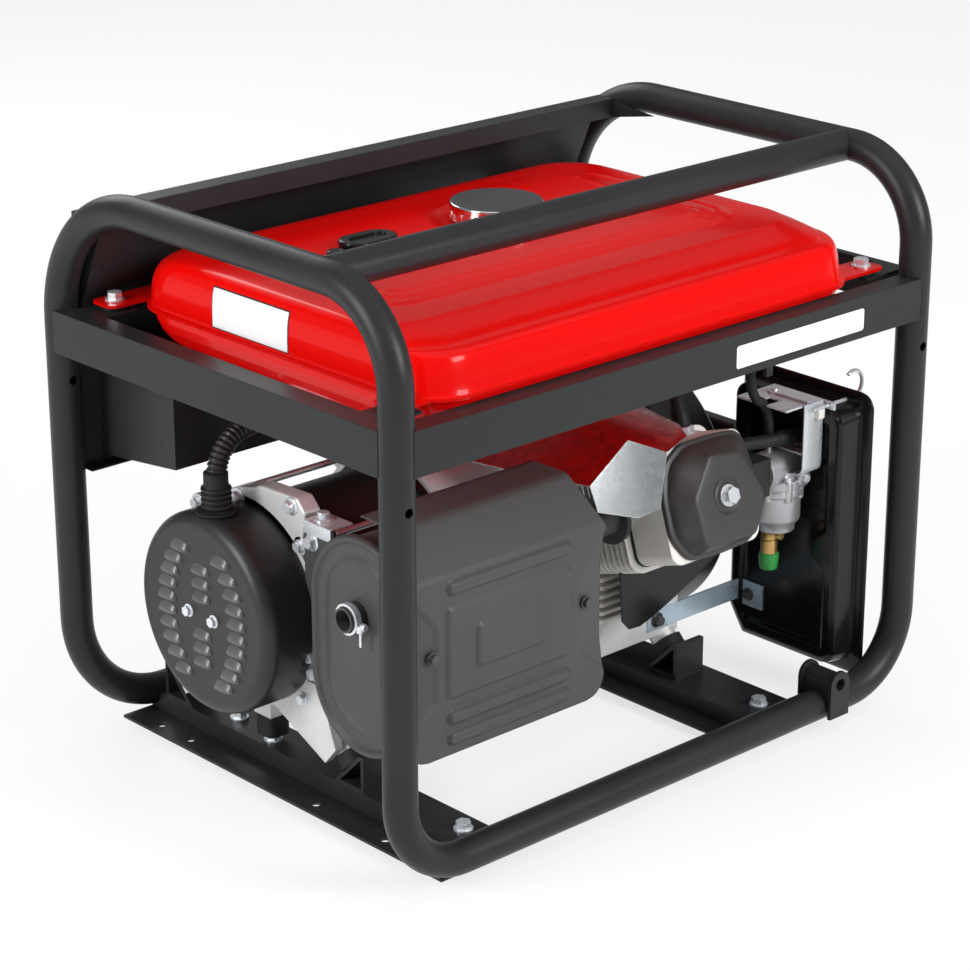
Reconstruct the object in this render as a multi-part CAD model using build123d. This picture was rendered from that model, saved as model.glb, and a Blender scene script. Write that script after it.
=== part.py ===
from build123d import *
import os
from math import cos, radians, sin, sqrt

# Open-frame portable generator. X runs along the crankshaft towards the recoil starter,
# -Y is the muffler side, +Y is the control panel side, Z is up and zero is the floor under the feet.

# Frame of bent tube
tube_d = 32.0
tube_wall = 2.0
frame_length = 677.0
frame_width = 483.5
frame_height = 572.5
bottom_bend = 75.0
top_bend = 85.0
rear_bottom_bend = 105.0
rear_top_bend = 125.0
weld_gap = 0.2
top_rail_inset = 93.0
handle_hole_d = 9.0
handle_hole_rise = 371.0

# Rails that carry the tank
mid_rise = 442.0
mid_height = 42.0
mid_sheet = 2.5
mid_flange = 24.0
mid_right_flange = 9.0
mid_proud = 15.0
tab_width = 36.0
tab_reach = 12.0

# Base plates and feet
base_sheet = 3.0
base_rise = 18.0
base_half = 240.0
left_plate_x = -231.0
left_plate_top = 44.0
left_outer_flange = 36.0
left_inner_flange = 18.0
right_plate_x = 171.0
right_plate_top = 62.0
right_flange = 25.0
flange_hole_d = 9.0
flange_hole_spacing = 294.0
flange_hole_edge = 14.0
spare_hole_y = (194.0, -47.0)
foot_drop = 8.0
foot_d = 34.0
foot_front_y = -206.0
foot_back_y = 124.0
foot_bore_d = 8.6

# Sloped rubber mounts under the engine and the alternator
wedge_rise = 38.0
wedge_back = 6.0
wedge_sheet = 4.0
left_wedge_width = 30.0
right_wedge_width = 40.0
mount_rubber = 14.0
mount_rubber_d = 34.0
mount_boss_d = 28.0
engine_mount_offset = 7.0
case_boss_length = 40.0
alternator_mount_spread = 128.0
left_mount_x = -238.0
buffer_size = 26.0
buffer_height = 22.0

# Lugs for the axle kit, welded over the bottom rails
lug_x = 228.0
lug_rise = 41.0
lug_bore_d = 13.0
lug_tube_d = 22.0
lug_plate = 4.0
lug_plate_d = 28.0
lug_clear = 2.0
lug_skirt = 6.0

# Fuel tank
tank_sheet = 1.5
tank_length = 564.0
tank_x = -10.0
tank_front = -231.0
tank_back = 194.0
tank_corner = 50.0
seam_flange = 4.0
dome_share = 0.554
dome_steps = 6
end_run = 22.0
front_run = 100.0
back_run = 48.0
crown_length = 420.0
crown_width = 205.0
crown_corner = 40.0
crown_rise = 4.0
pan_margin = 2.0
pan_depth = 41.5
pan_run = 30.0
tank_bolt_out = 21.0
tank_bolt_y = 203.0
tank_bolt_hole_d = 9.0
ear_width = 34.0
ear_corner = 8.5
grommet_d = 28.0
grommet_height = 4.0
cap_x = 30.0
cap_y = 30.0
cap_d = 92.0
cap_height = 12.0
cap_wall = 4.0
cap_gap = 0.3
cap_notches = 16
cap_notch_d = 6.0
cap_notch_out = 1.5
neck_d = 62.0
neck_wall = 2.5
neck_rise = 9.0
neck_depth = 8.0
strainer_rim = 1.0
strainer_wall = 0.8
strainer_depth = 58.0
gauge_x = -128.0
gauge_y = 38.0
gauge_length = 62.0
gauge_width = 36.0
gauge_height = 9.0
gauge_window = 2.0
gauge_window_length = 43.4
gauge_window_width = 14.4
sender_d = 18.0
sender_below_seam = 10.5
vent_x = -172.0
vent_y = 32.0
vent_d = 18.0
vent_height = 5.0
vent_edge = 1.6

# Fuel cock and hose
cock_x = 205.0
cock_y = -150.0
cock_flange_d = 24.0
cock_flange_height = 10.0
cock_body_d = 16.0
cock_length = 36.0
cock_boss_d = 14.0
cock_boss_reach = 20.0
cock_boss_drop = 22.0
lever_gap = 0.3
lever_thickness = 5.0
lever_hub_d = 18.0
lever_length = 34.0
lever_width = 9.0
nipple_d = 6.0
nipple_length = 12.0
hose_d = 10.0
hose_straight_share = 0.42
hose_bend_share = 0.7

# Crankshaft line, alternator from the left and engine to the right
crank_y = 62.0
crank_rise = 173.0
cover_x = -320.0
cover_depth = 58.0
cover_step = 5.0
cover_wall = 1.5
cover_edge = 14.0
louvre_width = 22.0
louvre_height = 5.0
louvre_pitch = 14.0
louvre_rows = 10
louvre_spread = 53.0
louvre_centre_rows = 3
bracket_depth = 34.0
bracket_d = 210.0
bracket_wall = 12.0
bracket_disc = 10.0
hub_d = 70.0
bracket_hole_d = 35.0
bracket_leg = 75.6
leg_web_out = 9.8
leg_web_drop = 8.4
leg_web_in = 5.6
leg_web_upper = 20.0
leg_web_lower = 75.0
buffer_post_reach = 84.0
shaft_clear = 2.0
ear_d = 18.0
long_bolt_d = 7.0
long_bolt_out = 5.0
long_bolt_turn = 45.0
stator_length = 143.0
stator_step = 13.0
stator_wall = 25.5
winding_length = 16.0
winding_wall = 18.0
winding_edge = 4.5
air_gap = 1.0
drive_length = 100.0
drive_wall = 6.0
drive_flange = 10.0
drive_windows = 6
window_width = 40.0
window_length = 55.0
rotor_shaft_d = 30.0
rotor_core_inset = 4.0
rotor_end_gap = 3.0
rotor_sleeve_d = 42.0
rotor_bearing_d = 52.0
rotor_bearing_bore = 25.0
rotor_bearing_width = 15.0
slip_ring_d = 36.0
slip_ring_width = 22.0
slip_ring_gap = 4.0
slip_ring_tip = 2.0
rotor_fan_gap_side = 15.0
rotor_fan_disc = 4.0
rotor_fan_blade = 18.0
rotor_fan_blades = 10
rotor_fan_gap = 8.0
rotor_blade_inset = 2.0
blade_thickness = 3.0
running_fit = 0.05
regulator_depth = 22.0
regulator_width = 42.0
regulator_height = 46.0
regulator_offset = 48.0
regulator_fins = 5
regulator_fin_depth = 6.6
regulator_fin_gap = 4.0
cover_screw_spread = 19.0
cover_screw_length = 20.0

# Engine block
case_cover_depth = 30.0
case_length = 140.0
case_back = 88.0
case_front = 140.0
case_top = 96.0
case_bottom = 116.0
sump_height = 56.0
case_slope = 38.4
case_slope_width = 23.0
barrel_root = 5.0
chamber_d = 156.0
cylinder_x = 110.0
cylinder_tilt = 17.6
deck_reach = 85.0
barrel_half = 75.0
barrel_reach = 172.0
barrel_d = 108.0
bore_d = 88.0
fin_width = 132.0
fin_height = 124.0
fin_corner = 20.0
fin_thickness = 2.6
fin_pitch = 9.0
fin_count = 8
fin_start = 93.0
head_length = 86.0
head_width = 124.0
head_height = 112.0
head_corner = 14.0
head_chamber_d = 80.0
head_chamber_depth = 6.0
rocker_flange = 5.0
rocker_flange_width = 120.0
rocker_flange_height = 110.0
rocker_corner = 28.0
rocker_width = 112.0
rocker_height = 102.0
rocker_depth = 13.0
rocker_taper = 14.0
rocker_pad_r = 48.0
rocker_pad_depth = 10.0
rocker_wall = 2.5
rocker_bolt_across = 15.0
rocker_bolt_hold = 12.0
case_bearing_d = 72.0
case_bearing_width = 17.0
journal_d = 35.0
crank_stub_d = 28.0
crank_stub_length = 72.0
crank_stub_gap = 2.0
journal_gap = 1.0
crank_throw = 32.0
crank_pin_d = 36.0
crank_pin_width = 26.0
web_d = 108.0
web_thickness = 18.0
bearing_wall = 35.0
piston_gap = 0.3
piston_height = 62.0
piston_wall = 7.0
piston_squish = 2.0
piston_pin_d = 20.0
piston_pin_drop = 30.0
ring_groove = 2.0
ring_pitch = 6.0
ring_count = 3
rod_width = 20.0
rod_shank = 16.0
rod_eye_d = 34.0
rod_end_d = 56.0
dipstick_x = 110.0
dipstick_drop = 83.0
dipstick_d = 24.0
dipstick_gap = 0.1
dipstick_thread = 20.0
dipstick_rod_d = 6.0
dipstick_rod_length = 45.0
dipstick_clear = 2.0
dipstick_blade = 11.9
dipstick_grip_d = 34.0
dipstick_grip_length = 16.0
post_x = 100.0
post_y = -12.0
post_d = 12.0

# Flywheel, fan housing and recoil starter
fan_depth = 73.0
fan_d = 294.0
fan_wall = 1.5
fan_edge = 10.0
fan_back_ring = 37.0
fan_mouth_d = 184.0
flywheel_gap = 8.0
flywheel_d = 236.0
flywheel_disc = 26.0
flywheel_blade = 16.0
flywheel_blades = 14
flywheel_cup_d = 84.0
flywheel_cup = 24.0
flywheel_cup_wall = 5.0
flywheel_blade_inner = 8.0
flywheel_blade_outer = 4.0
recoil_depth = 42.0
recoil_d = 196.0
recoil_wall = 2.0
recoil_edge = 12.0
recoil_flange = 14.0
recoil_slots = 18
recoil_slot_width = 6.0
recoil_slot_length = 26.0
reel_d = 92.0
reel_width = 18.0
reel_rope_d = 76.0
reel_groove = 10.0
reel_gap = 0.5
post_pin_d = 16.0
grip_offset_y = -52.0
grip_offset_z = 56.0
grip_length = 84.0
grip_d = 20.0
grip_edge = 6.0
grip_gap = 0.3
grip_stem_d = 14.0
grip_stem = 10.0
rope_d = 5.0
rope_hole_d = 6.4
rope_guide_d = 28.0
rope_tail = 12.0

# Cylinder shroud of zinc-coated sheet
shroud_sheet = 1.5
shroud_rise = 322.0
shroud_left = -60.0
shroud_right = 130.0
shroud_front = -150.0
shroud_back = 0.0
shroud_lip = 22.0
shroud_head_gap = 2.0
shroud_head_clear = 4.0
shroud_inner_rise = 60.0
shroud_tongue_width = 24.0
shroud_tongue_rise = 48.0
shroud_outer_inset = 14.0
shroud_outer_rise = 92.0

# Carburettor, control bracket and air cleaner
port_reach = 212.0
port_boss_d = 40.0
port_boss = 6.0
port_depth = 24.0
carb_x = 250.0
carb_y = -150.0
carb_rise = 238.0
carb_length = 56.0
carb_d = 40.0
carb_bore_d = 24.0
bowl_d = 38.0
bowl_height = 40.0
bowl_rim_d = 44.0
bowl_rim = 6.0
bowl_edge = 4.75
drain_d = 12.0
drain_length = 24.0
drain_cap_d = 17.0
drain_cap = 17.0
drain_cap_edge = 3.4
drain_offset = -8.0
block_width = 52.0
block_height = 40.0
block_gap = 6.0
block_neck_d = 36.0
block_back = 15.6
air_box_x = 280.0
air_base_depth = 26.0
air_cover_depth = 22.0
air_front = -209.0
air_back = -69.0
air_bottom_rise = 31.0
air_top_rise = 302.0
air_corner = 18.0
air_rim = 3.0
air_wall = 2.5
air_cut = 18.0
air_cut_height = 27.0
air_edge = 6.0
element_gap = 0.3
element_height = 120.0
element_depth = 34.0
element_width = 104.0
control_sheet = 2.0
control_front = -184.0
control_width = 28.0
control_top_rise = 312.0
control_plate_left = 222.0
control_plate_back = -118.0
hose_notch = 8.0
choke_y = -192.0
choke_drop = 4.0
choke_wire_d = 4.0
choke_tail = 26.0
choke_reach = 34.0
choke_hook = 14.0
choke_hook_turn = 215.0
governor_x = 258.0
governor_y = -136.0
governor_pin_d = 6.0
governor_reach = 48.0
governor_width = 10.0
governor_gap = 0.3
governor_pin = 4.2
governor_hub_d = 14.0
strap_sheet = 2.5
strap_height = 22.0
strap_rise = 66.0
strap_left = 140.0
strap_foot = 34.0
plug_x = 146.0
plug_reach = 206.0
plug_d = 14.0
plug_length = 26.0
plug_collar = 8.0
boot_d = 18.0
boot_length = 34.0
lead_d = 7.0
lead_bend = 17.0
lead_target_y = 4.0
lead_target_rise = 292.0

# Muffler and heat shield
muffler_x = -285.0
muffler_length = 190.0
muffler_y = -132.0
muffler_rise = 192.0
muffler_width = 128.0
muffler_height = 204.0
muffler_wall = 1.5
muffler_rim = 4.0
muffler_rim_length = 6.0
exhaust_d = 34.0
exhaust_wall = 2.0
exhaust_reach = 192.0
exhaust_flange_d = 56.0
exhaust_flange = 5.0
exhaust_boss_d = 46.4
tail_y = -130.0
tail_rise = 224.0
tail_d = 24.0
tail_wall = 2.0
tail_length = 22.0
clamp_wall = 2.0
clamp_width = 9.0
shield_sheet = 1.5
shield_left = -313.0
shield_right = -71.0
shield_front = -225.0
shield_bottom_rise = 111.0
shield_bend_rise = 282.0
shield_top_rise = 326.0
shield_slope_y = -190.0
shield_back_y = -145.0
shield_chamfer = 18.0
shield_chamfer_height = 27.0
shield_top_inset = 16.0
shield_screw_rise = 211.0
rib_proud = 2.5
rib_length = 150.0
rib_height = 11.0
rib_rises = (272.0, 147.0, 127.0)
emboss_length = 152.0
emboss_low_rise = 167.0
emboss_high_rise = 253.0
emboss_inset = 22.0
emboss_corner = 8.0
muffler_plate = 3.0
muffler_plate_low_rise = 118.0
muffler_plate_high_rise = 280.0
muffler_plate_back = -26.2

# Control panel
panel_y = 240.0
panel_sheet = 2.0
panel_bottom_rise = 274.0
panel_fold_rise = 425.0
panel_top_rise = 552.0
panel_top_y = 184.0
panel_lip_y = 161.0
panel_lip = 20.0
panel_return = 14.0
panel_tab = 60.0
panel_tab_drop = 9.0
panel_gap = 0.3
rear_left = -300.0
rear_step = -165.0
rear_right = 150.0
rear_deep_y = 121.0
rear_shallow_y = 160.0
rear_low_rise = 298.0
rear_droop = 14.0
rear_high_rise = 318.0
rear_top_rise = 394.0
rear_sheet = 1.5
row_rise = 376.0
meter_x = -200.0
meter_size = 60.0
meter_depth = 12.0
meter_recess = 6.0
meter_wall = 4.0
needle_length = 20.8
needle_width = 2.4
needle_thickness = 1.0
needle_pin_d = 3.0
switch_x = -100.0
switch_d = 26.0
switch_depth = 11.0
key_d = 20.0
key_depth = 10.0
key_blade = 6.0
key_collar = 3.5
breaker_x = -20.0
breaker_width = 36.0
breaker_height = 54.0
breaker_depth = 10.0
toggle_width = 14.0
toggle_slot = 30.0
toggle_length = 15.0
toggle_thickness = 6.0
toggle_gap = 0.5
button_x = 50.0
button_d = 10.0
button_gap = 0.1
button_sleeve_d = 16.0
button_sleeve = 6.0
button_length = 7.0
button_travel = 3.0
socket_xs = (130.0, 225.0)
socket_d = 54.0
socket_depth = 10.0
socket_well_d = 38.0
socket_well = 7.0
lid_d = 50.0
lid_thickness = 3.0
lid_gap = 0.3
lid_hinge_d = 5.0
lid_hinge_length = 18.0
lid_hinge_out = 1.25
terminal_xs = (-140.0, -110.0, -80.0)
terminal_rise = 308.0
terminal_d = 12.0
terminal_depth = 16.0

# Corrugated conduit from the alternator to the panel
conduit_x = -298.0
conduit_d = 20.0
conduit_root_d = 16.8
conduit_bore_d = 14.0
conduit_ribs = 36
rib_crest_start = 0.25
rib_crest_end = 0.6
rib_root_start = 0.85
conduit_bend = 29.0
conduit_end_x = -195.0
conduit_turn_y = 72.0
conduit_rise = 347.0
gland_d = 30.0
gland_flange_d = 40.0
gland_flange = 3.0
gland_length = 24.0
gland_collar_d = 23.0
gland_rings = 4

# Bolts
bolt_across = 13.0
bolt_shank_d = 8.0
screw_across = 9.0
bolt_flange_ratio = 0.72
bolt_washer_ratio = 0.14
bolt_head_ratio = 0.62
screw_shank_d = 5.0

# Levels and places worked out from the sizes above
tube_r = tube_d / 2
half_length = frame_length / 2
half_width = frame_width / 2
deck = foot_drop + base_sheet
rail_z = deck + tube_r
top_z = deck + frame_height - tube_r
top_rail_y = -half_width + top_rail_inset
plate_top = deck + base_rise
mid_top = deck + mid_rise
crank_z = deck + crank_rise
bracket_x = cover_x + cover_depth
cover_d = bracket_d - 2 * cover_step
stator_d = bracket_d - 2 * stator_step
stator_bore = stator_d - 2 * stator_wall
long_bolt_circle = bracket_d + 2 * long_bolt_out
rotor_fan_d = bracket_d - 2 * drive_wall - 2 * rotor_fan_gap_side
stator_x = bracket_x + bracket_depth
drive_x = stator_x + stator_length
case_cover_x = drive_x + drive_length
case_x = case_cover_x + case_cover_depth
fan_x = case_x + case_length
recoil_x = fan_x + fan_depth
recoil_end = recoil_x + recoil_depth
case_front_y = crank_y - case_front
case_back_y = crank_y + case_back
seam_low = mid_top + grommet_height
seam_mid = seam_low + tank_sheet
seam_top = seam_mid + tank_sheet
dome_height = dome_share * (top_z - tube_r - seam_mid)
crown_z = seam_mid + dome_height + crown_rise
tank_bolt_x = tank_length / 2 + tank_bolt_out
pan_z = seam_mid - pan_depth
neck_top = crown_z + neck_rise
tilt_cos = cos(radians(cylinder_tilt))
tilt_sin = sin(radians(cylinder_tilt))
head_reach = barrel_reach + head_length
rocker_reach = head_reach + rocker_flange
carb_z = deck + carb_rise
carb_left = carb_x - carb_length / 2
muffler_z = deck + muffler_rise
muffler_end = muffler_x + muffler_length
panel_half = half_length - tube_r - panel_gap
row_z = deck + row_rise
bottom = (Align.CENTER, Align.CENTER, Align.MIN)
across_x = (1, 0, 0)
quarter_turns = (0, 90, 180, 270)


# Shapes used throughout

def block(xs, ys, zs):
    """A box between low and high corners on each axis."""
    centre = Pos(sum(xs) / 2, sum(ys) / 2, sum(zs) / 2)
    return centre * Box(xs[1] - xs[0], ys[1] - ys[0], zs[1] - zs[0])


def rod(start, end, diameter):
    """A round bar between two points."""
    axis = Vector(*end) - Vector(*start)
    return Plane(origin=start, z_dir=axis) * Cylinder(diameter / 2, axis.length, align=bottom)


def pipe(start, end, outer, inner):
    """A tube between two points."""
    return rod(start, end, outer) - rod(start, end, inner)


def crank_rod(x_low, x_high, diameter):
    """A round bar on the crankshaft line."""
    return rod((x_low, crank_y, crank_z), (x_high, crank_y, crank_z), diameter)


def crank_pipe(x_low, x_high, outer, inner):
    """A tube on the crankshaft line."""
    return crank_rod(x_low, x_high, outer) - crank_rod(x_low, x_high, inner)


def side_plate(points, x_low, x_high):
    """A Y-Z outline carried along X."""
    face = make_face(Polyline(*points, close=True))
    return extrude(Plane.YZ.offset(x_low) * face, x_high - x_low)


def front_plate(outline, y_low, y_high):
    """An X-Z outline carried along Y."""
    plane = Plane(origin=(0, y_low, 0), x_dir=across_x, z_dir=(0, -1, 0))
    return extrude(plane * outline, y_low - y_high)


def polygon(points):
    """A flat face through corner points."""
    return make_face(Polyline(*points, close=True))


def group(*shapes):
    """Separate solids kept together in one node."""
    solids = []
    for shape in shapes:
        solids.extend(shape.solids())
    return Compound(solids)


def cylinder_point(reach, lift, x=cylinder_x):
    """A point by its distance along the tilted cylinder axis and square to it."""
    y = crank_y - tilt_cos * reach + tilt_sin * lift
    z = crank_z + tilt_sin * reach + tilt_cos * lift
    return (x, y, z)


def cylinder_plane(reach):
    """A plane square to the tilted cylinder axis."""
    return Plane(origin=cylinder_point(reach, 0), x_dir=across_x, z_dir=(0, -tilt_cos, tilt_sin))


def bolt(seat, out, across, shank_d, length):
    """A flanged hexagon bolt whose flange sits on a seat point."""
    plane = Plane(origin=seat, z_dir=out)
    flange = plane * Cylinder(across * bolt_flange_ratio, across * bolt_washer_ratio, align=bottom)
    hexagon = extrude(plane * RegularPolygon(across / 2, 6, major_radius=False), across * bolt_head_ratio)
    shank = plane * Pos(0, 0, -length) * Cylinder(shank_d / 2, length, align=bottom)
    return flange + hexagon + shank


# Frame

def hoop_bar(side, section):
    """A cross-section carried along one end hoop's centre line."""
    end = side * half_length
    corners = [
        (0, -half_width, rail_z),
        (end, -half_width, rail_z),
        (end, -half_width, top_z),
        (end, half_width, top_z),
        (end, half_width, rail_z),
        (0, half_width, rail_z),
    ]
    path = FilletPolyline(*corners, radius=[bottom_bend, top_bend, rear_top_bend, rear_bottom_bend])
    return sweep(Plane(origin=corners[0], z_dir=(side, 0, 0)) * section, path=path)


def hoop(side):
    """One end hoop: a top cross tube, two legs and half of each bottom rail."""
    bent = hoop_bar(side, Circle(tube_r) - Circle(tube_r - tube_wall))
    end = side * half_length
    hole_z = deck + handle_hole_rise
    for y in (-half_width, half_width):
        bent -= rod((end, y - tube_d, hole_z), (end, y + tube_d, hole_z), handle_hole_d)
    return bent


hoop_clearance = [hoop_bar(side, Circle(tube_r + weld_gap)) for side in (-1, 1)]


def clear_of_tubes(shape):
    """Notch a sheet where it meets the frame tubes."""
    for bar in hoop_clearance:
        shape -= bar
    return shape


def top_rail():
    """The front top rail, coped onto the two cross tubes."""
    ends = ((-half_length, top_rail_y, top_z), (half_length, top_rail_y, top_z))
    return clear_of_tubes(pipe(*ends, tube_d, tube_d - 2 * tube_wall))


def tank_bolt_points(z):
    """The four tank bolt places at a height."""
    return [(x, y, z) for x in (-tank_bolt_x, tank_bolt_x) for y in (-tank_bolt_y, tank_bolt_y)]


def mid_rails():
    """Left, right and front angle rails with tabs under the tank ears."""
    outer_x = half_length + mid_proud
    outer_y = half_width + mid_proud
    heights = (mid_top - mid_height, mid_top)
    flange_z = (mid_top - mid_sheet, mid_top)
    rails = []
    for side, width in ((-1, mid_flange), (1, mid_right_flange)):
        inner_x = outer_x - width
        run = (-half_width, half_width)
        web = block(sorted((side * outer_x, side * (outer_x - mid_sheet))), run, heights)
        flange = block(sorted((side * outer_x, side * inner_x)), run, flange_z)
        rail = web + flange
        for y in (-tank_bolt_y, tank_bolt_y):
            tab_x = sorted((side * inner_x, side * (tank_bolt_x - tab_reach)))
            rail += block(tab_x, (y - tab_width / 2, y + tab_width / 2), flange_z)
        rails.append(rail)
    front_web = block((-half_length, half_length), (-outer_y, -outer_y + mid_sheet), heights)
    flange_x = (mid_flange - outer_x, outer_x - mid_right_flange)
    front_flange = block(flange_x, (-outer_y, -outer_y + mid_flange), flange_z)
    rails.append(front_web + front_flange)
    finished = []
    for rail in rails:
        rail = clear_of_tubes(rail)
        for x, y, z in tank_bolt_points(mid_top):
            rail -= rod((x, y, z - 2 * mid_sheet), (x, y, z + mid_sheet), tank_bolt_hole_d)
        finished.append(rail)
    return group(*finished)


def hat_plate(centre, top, left_flange, right_flange):
    """A pressed hat section across the frame, notched round the bottom rails."""
    ys = (-base_half, base_half)
    low = (deck - base_sheet, deck)
    left = centre - top / 2
    right = centre + top / 2
    plate = block((left, right), ys, (plate_top - base_sheet, plate_top))
    plate += block((left, left + base_sheet), ys, (low[0], plate_top))
    plate += block((right - base_sheet, right), ys, (low[0], plate_top))
    plate += block((left - left_flange, left + base_sheet), ys, low)
    plate += block((right - base_sheet, right + right_flange), ys, low)
    for y in (foot_front_y, foot_back_y):
        plate -= rod((centre, y, deck), (centre, y, plate_top + base_sheet), bolt_shank_d + 2 * weld_gap)
    return clear_of_tubes(plate)


def flange_hole(x, y):
    """The cutter for one hole in a base plate flange."""
    return rod((x, y, deck - 2 * base_sheet), (x, y, deck + base_sheet), flange_hole_d)


left_hole_x = left_plate_x - left_plate_top / 2 - left_outer_flange + flange_hole_edge
right_hole_x = right_plate_x + right_plate_top / 2 + right_flange - flange_hole_edge


def mount_places():
    """Each sloped mount: its X, Y, which way it faces and the wedge's width."""
    return [
        (left_mount_x, crank_y - alternator_mount_spread, 1, left_wedge_width),
        (left_mount_x, crank_y + alternator_mount_spread, -1, left_wedge_width),
        (right_plate_x, case_front_y - engine_mount_offset, 1, right_wedge_width),
        (right_plate_x, case_back_y + engine_mount_offset, -1, right_wedge_width),
    ]


def mount_point(place, along):
    """A point on a mount's axis, measured from the wedge's sloped face."""
    x, y, facing, width = place
    step = along / sqrt(2)
    return (x, y + facing * step, plate_top + wedge_rise / 2 + step)


def mount_wedge(place):
    """A folded steel wedge with its sloped face towards the machine."""
    x, y, facing, width = place
    half = wedge_rise / 2
    inner = half - wedge_sheet * sqrt(2)
    outer_points = [(half, 0), (-half, wedge_rise), (-half - wedge_back, wedge_rise), (-half - wedge_back, 0)]
    back = wedge_sheet - half - wedge_back
    inner_points = [(inner - wedge_sheet, wedge_sheet), (back, inner - back), (back, wedge_sheet)]

    def placed(points):
        return [(y + facing * u, plate_top + v) for u, v in points]

    ends = (x - width / 2, x + width / 2)
    return side_plate(placed(outer_points), *ends) - side_plate(placed(inner_points), *ends)


def base_plates():
    """Both base plates, each with its mount wedges welded on top."""
    left = hat_plate(left_plate_x, left_plate_top, left_outer_flange, left_inner_flange)
    right = hat_plate(right_plate_x, right_plate_top, right_flange, right_flange)
    for y in (-flange_hole_spacing / 2, flange_hole_spacing / 2):
        left -= flange_hole(left_hole_x, y)
        right -= flange_hole(right_hole_x, y)
    for y in spare_hole_y:
        left -= flange_hole(left_hole_x, y)
    buffer_hole = bolt_shank_d + 2 * weld_gap
    left -= rod((left_mount_x, crank_y, deck), (left_mount_x, crank_y, plate_top), buffer_hole)
    places = mount_places()
    left += mount_wedge(places[0])
    left += mount_wedge(places[1])
    right += mount_wedge(places[2])
    right += mount_wedge(places[3])
    return group(left, right)


buffer_seat = plate_top + bolt_across * bolt_head_ratio
buffer_top = buffer_seat + buffer_height


def vibration_mounts():
    """Rubber blocks on the wedges, the buffer under the alternator and the tank grommets."""
    solids = []
    for place in mount_places():
        solids.append(rod(mount_point(place, 0), mount_point(place, mount_rubber), mount_rubber_d))
    half = buffer_size / 2
    buffer = block((left_mount_x - half, left_mount_x + half), (crank_y - half, crank_y + half),
                   (buffer_seat, buffer_top))
    solids.append(fillet(buffer.edges().filter_by(Axis.Z), half / 2))
    for x, y, z in tank_bolt_points(mid_top):
        solids.append(pipe((x, y, z), (x, y, seam_low), grommet_d, tank_bolt_hole_d))
    return group(*solids)


def foot_points(z):
    """The four foot places at a height."""
    return [(x, y, z) for x in (left_plate_x, right_plate_x) for y in (foot_front_y, foot_back_y)]


def feet():
    """Round rubber feet inside the base plates."""
    top = plate_top - base_sheet
    return group(*[pipe((x, y, 0), (x, y, top), foot_d, foot_bore_d) for x, y, z in foot_points(0)])


def axle_lugs():
    """Two cross tubes held over the bottom rails by side plates."""
    lugs = []
    lug_z = deck + lug_rise
    for side in (-1, 1):
        near = side * (half_width - tube_r - lug_clear)
        far = side * (half_width + tube_r + lug_clear)
        lug = rod((lug_x, near, lug_z), (lug_x, far, lug_z), lug_tube_d)
        for start, end in ((near, near - side * lug_plate), (far, far + side * lug_plate)):
            low, high = sorted((start, end))
            lug += rod((lug_x, low, lug_z), (lug_x, high, lug_z), lug_plate_d)
            half = lug_plate_d / 2
            lug += block((lug_x - half, lug_x + half), (low, high), (deck + lug_skirt, lug_z))
        strip = sorted((near, far))
        web = block((lug_x - lug_tube_d / 2, lug_x + lug_tube_d / 2), strip, (rail_z, lug_z))
        lug = clear_of_tubes(lug + web)
        reach = lug_plate * 2
        lug -= rod((lug_x, near - side * reach, lug_z), (lug_x, far + side * reach, lug_z), lug_bore_d)
        lugs.append(lug)
    return group(*lugs)


def frame_bolts():
    """Foot bolts, the buffer's bolt and the tank bolts with their washers."""
    bolts = []
    for point in foot_points(plate_top):
        bolts.append(bolt(point, (0, 0, 1), bolt_across, bolt_shank_d, deck + base_rise / 2))
    buffer_point = (left_mount_x, crank_y, plate_top)
    bolts.append(bolt(buffer_point, (0, 0, 1), bolt_across, bolt_shank_d, base_rise / 2))
    for point in tank_bolt_points(seam_top):
        reach = seam_top - mid_top + 2 * mid_sheet
        bolts.append(bolt(point, (0, 0, 1), bolt_across, bolt_shank_d, reach))
    return group(*bolts)


# Fuel tank

def tank_dome(inset):
    """The domed upper half, drawn in by an inset."""
    sections = []
    for step in range(dome_steps + 1):
        turn = radians(90 * step / dome_steps)
        draw = 1 - cos(turn)
        length = tank_length - 2 * (end_run * draw + inset)
        front = tank_front + front_run * draw + inset
        back = tank_back - back_run * draw - inset
        z = seam_mid + (dome_height - inset) * sin(turn)
        plan = RectangleRounded(length, back - front, tank_corner - inset)
        sections.append(Pos(tank_x, (front + back) / 2, z) * plan)
    front = tank_front + front_run
    back = tank_back - back_run
    plan = RectangleRounded(crown_length - 2 * inset, crown_width - 2 * inset, crown_corner - inset)
    base = seam_mid + dome_height / 2
    crown = extrude(Pos(tank_x, (front + back) / 2, base) * plan, crown_z - inset - base)
    return loft(sections, ruled=True) + crown


def tank_pan(inset):
    """The shallow lower half, drawn in by an inset."""
    sections = []
    for step in range(dome_steps + 1):
        turn = radians(90 * step / dome_steps)
        draw = pan_margin + pan_run * (1 - cos(turn)) + inset
        z = seam_mid - (pan_depth - inset) * sin(turn)
        width = tank_back - tank_front - 2 * draw
        plan = RectangleRounded(tank_length - 2 * draw, width, tank_corner - inset)
        sections.append(Pos(tank_x, (tank_front + tank_back) / 2, z) * plan)
    return loft(sections, ruled=True)


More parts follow.
